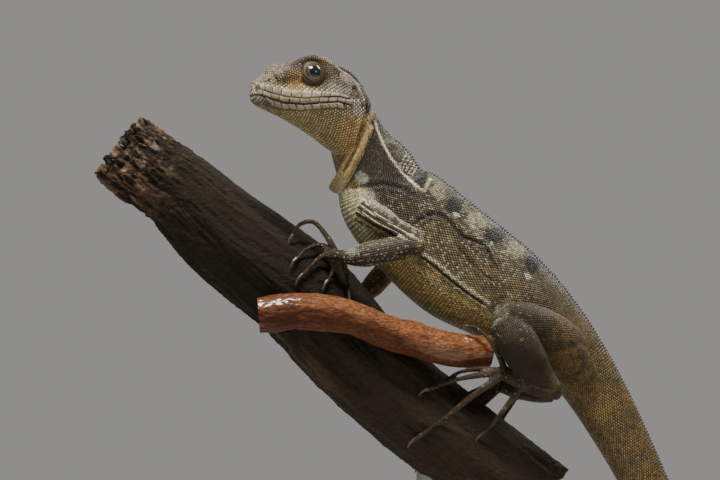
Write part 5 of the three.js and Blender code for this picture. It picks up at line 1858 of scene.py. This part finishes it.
def build_lights():
    """Soft lights from above, the side and behind, and a pale sky."""
    middle = np.array([0.0, 0.0, VENT_HEIGHT + MIDDLE]) * MM
    for name, place, size, power in LIGHTS:
        lamp = bpy.data.lights.new(name, "AREA")
        lamp.shape, lamp.size, lamp.energy, lamp.color = "DISK", size, power, (1, 0.96, 0.88)
        light = bpy.data.objects.new(name, lamp)
        light.location = middle + np.array(place)
        aim(light, middle)
        bpy.context.scene.collection.objects.link(light)
    world = bpy.data.worlds.new("studio")
    world.use_nodes = True
    sky = world.node_tree.nodes["Background"]
    sky.inputs["Color"].default_value = (0.84, 0.83, 0.80, 1)
    sky.inputs["Strength"].default_value = 0.34
    bpy.context.scene.world = world


def aim(light, middle):
    """Turns a light so that its beam, along its own -Z, meets a place."""
    x, y, z = (middle - np.array(light.location)).tolist()
    light.rotation_euler = (math.atan2(math.hypot(x, y), -z), 0, math.atan2(y, x) - TURN / 4)


def build_camera(choice):
    """The photo's camera, level and square to the side, with its frame as wide as the photo's."""
    lens = bpy.data.cameras.new("photo_camera")
    lens.sensor_width = 36.0
    lens.lens = lens.sensor_width * choice.distance / (PHOTO_SIZE[0] / PHOTO_PX_PER_MM * MM)
    lens.clip_start, lens.clip_end = 0.01, 50
    camera = bpy.data.objects.new("photo_camera", lens)
    right = (PHOTO_SIZE[0] / 2 - PHOTO_VENT[0]) / PHOTO_PX_PER_MM * MM
    height = (VENT_HEIGHT + (PHOTO_VENT[1] - PHOTO_SIZE[1] / 2) / PHOTO_PX_PER_MM) * MM
    camera.location = (right, -choice.distance, height)
    camera.rotation_euler = (TURN / 4, 0, 0)
    bpy.context.scene.collection.objects.link(camera)
    bpy.context.scene.camera = camera


# Operators and panel

class MakeStage(bpy.types.Operator):
    """Floor, lights and camera"""
    bl_idname = "basilisk.stage"
    bl_label = "Stage"

    def execute(self, context):
        build_stage()
        return {"FINISHED"}


class MakeSkin(bpy.types.Operator):
    """One skin over all the flesh"""
    bl_idname = "basilisk.skin"
    bl_label = "Skin"

    def execute(self, context):
        build_skin()
        return {"FINISHED"}


class MakeCoat(bpy.types.Operator):
    """Scales in rows over the skin, and granules between the rows"""
    bl_idname = "basilisk.coat"
    bl_label = "Scales"

    def execute(self, context):
        build_coat(bpy.data.objects["skin"])
        return {"FINISHED"}


class MakeLips(bpy.types.Operator):
    """Plates along the lips"""
    bl_idname = "basilisk.lips"
    bl_label = "Lip plates"

    def execute(self, context):
        build_lips()
        return {"FINISHED"}


class MakeEyes(bpy.types.Operator):
    """Both eyeballs"""
    bl_idname = "basilisk.eyes"
    bl_label = "Eyes"

    def execute(self, context):
        build_eyes()
        return {"FINISHED"}


class MakeLids(bpy.types.Operator):
    """Lids of both eyes"""
    bl_idname = "basilisk.lids"
    bl_label = "Lids"

    def execute(self, context):
        build_lids()
        return {"FINISHED"}


class MakeBackCrest(bpy.types.Operator):
    """Saw teeth along the back"""
    bl_idname = "basilisk.back_crest"
    bl_label = "Back crest"

    def execute(self, context):
        build_back_crest()
        return {"FINISHED"}


class MakeClaws(bpy.types.Operator):
    """A claw on each digit"""
    bl_idname = "basilisk.claws"
    bl_label = "Claws"

    def execute(self, context):
        build_claws()
        return {"FINISHED"}


class MakeBranch(bpy.types.Operator):
    """The thick branch"""
    bl_idname = "basilisk.branch"
    bl_label = "Branch"

    def execute(self, context):
        build_branch()
        return {"FINISHED"}


class MakeStem(bpy.types.Operator):
    """The thin stem over the branch"""
    bl_idname = "basilisk.stem"
    bl_label = "Stem"

    def execute(self, context):
        build_stem()
        return {"FINISHED"}


class MakeBase(bpy.types.Operator):
    """The stand's base"""
    bl_idname = "basilisk.base"
    bl_label = "Base"

    def execute(self, context):
        build_base()
        return {"FINISHED"}


class MakeRod(bpy.types.Operator):
    """The stand's rod"""
    bl_idname = "basilisk.rod"
    bl_label = "Rod"

    def execute(self, context):
        build_rod()
        return {"FINISHED"}


class BasiliskPanel(bpy.types.Panel):
    """The settings and the steps of the build"""
    bl_idname = "VIEW3D_PT_basilisk"
    bl_label = "Brown basilisk"
    bl_space_type = "VIEW_3D"
    bl_region_type = "UI"
    bl_category = "Basilisk"

    def draw(self, context):
        for name, group in GROUPS.items():
            box = self.layout.box()
            for key in group.__annotations__:
                box.prop(getattr(context.scene, f"basilisk_{name}"), key)
        for step in STEPS:
            self.layout.operator(step.bl_idname)


GROUPS = {
    "hide": HideSettings, "skin": SkinSettings, "eye": EyeSettings, "perch": PerchSettings,
    "stage": StageSettings,
}
STEPS = [
    MakeStage, MakeSkin, MakeCoat, MakeLips, MakeEyes, MakeLids, MakeBackCrest, MakeClaws, MakeBranch,
    MakeStem, MakeBase, MakeRod,
]


def register():
    """Adds the classes, and each group of settings to the scene."""
    for kind in (*GROUPS.values(), *STEPS, BasiliskPanel):
        bpy.utils.register_class(kind)
    for name, group in GROUPS.items():
        setattr(bpy.types.Scene, f"basilisk_{name}", bpy.props.PointerProperty(type=group))


def unregister():
    """Takes the settings and the classes away again."""
    for name in GROUPS:
        delattr(bpy.types.Scene, f"basilisk_{name}")
    for kind in reversed((*GROUPS.values(), *STEPS, BasiliskPanel)):
        bpy.utils.unregister_class(kind)


def main():
    """Builds everything in order."""
    register()
    for step in STEPS:
        getattr(bpy.ops.basilisk, step.bl_idname.split(".")[1])()


if __name__ == "__main__":
    main()
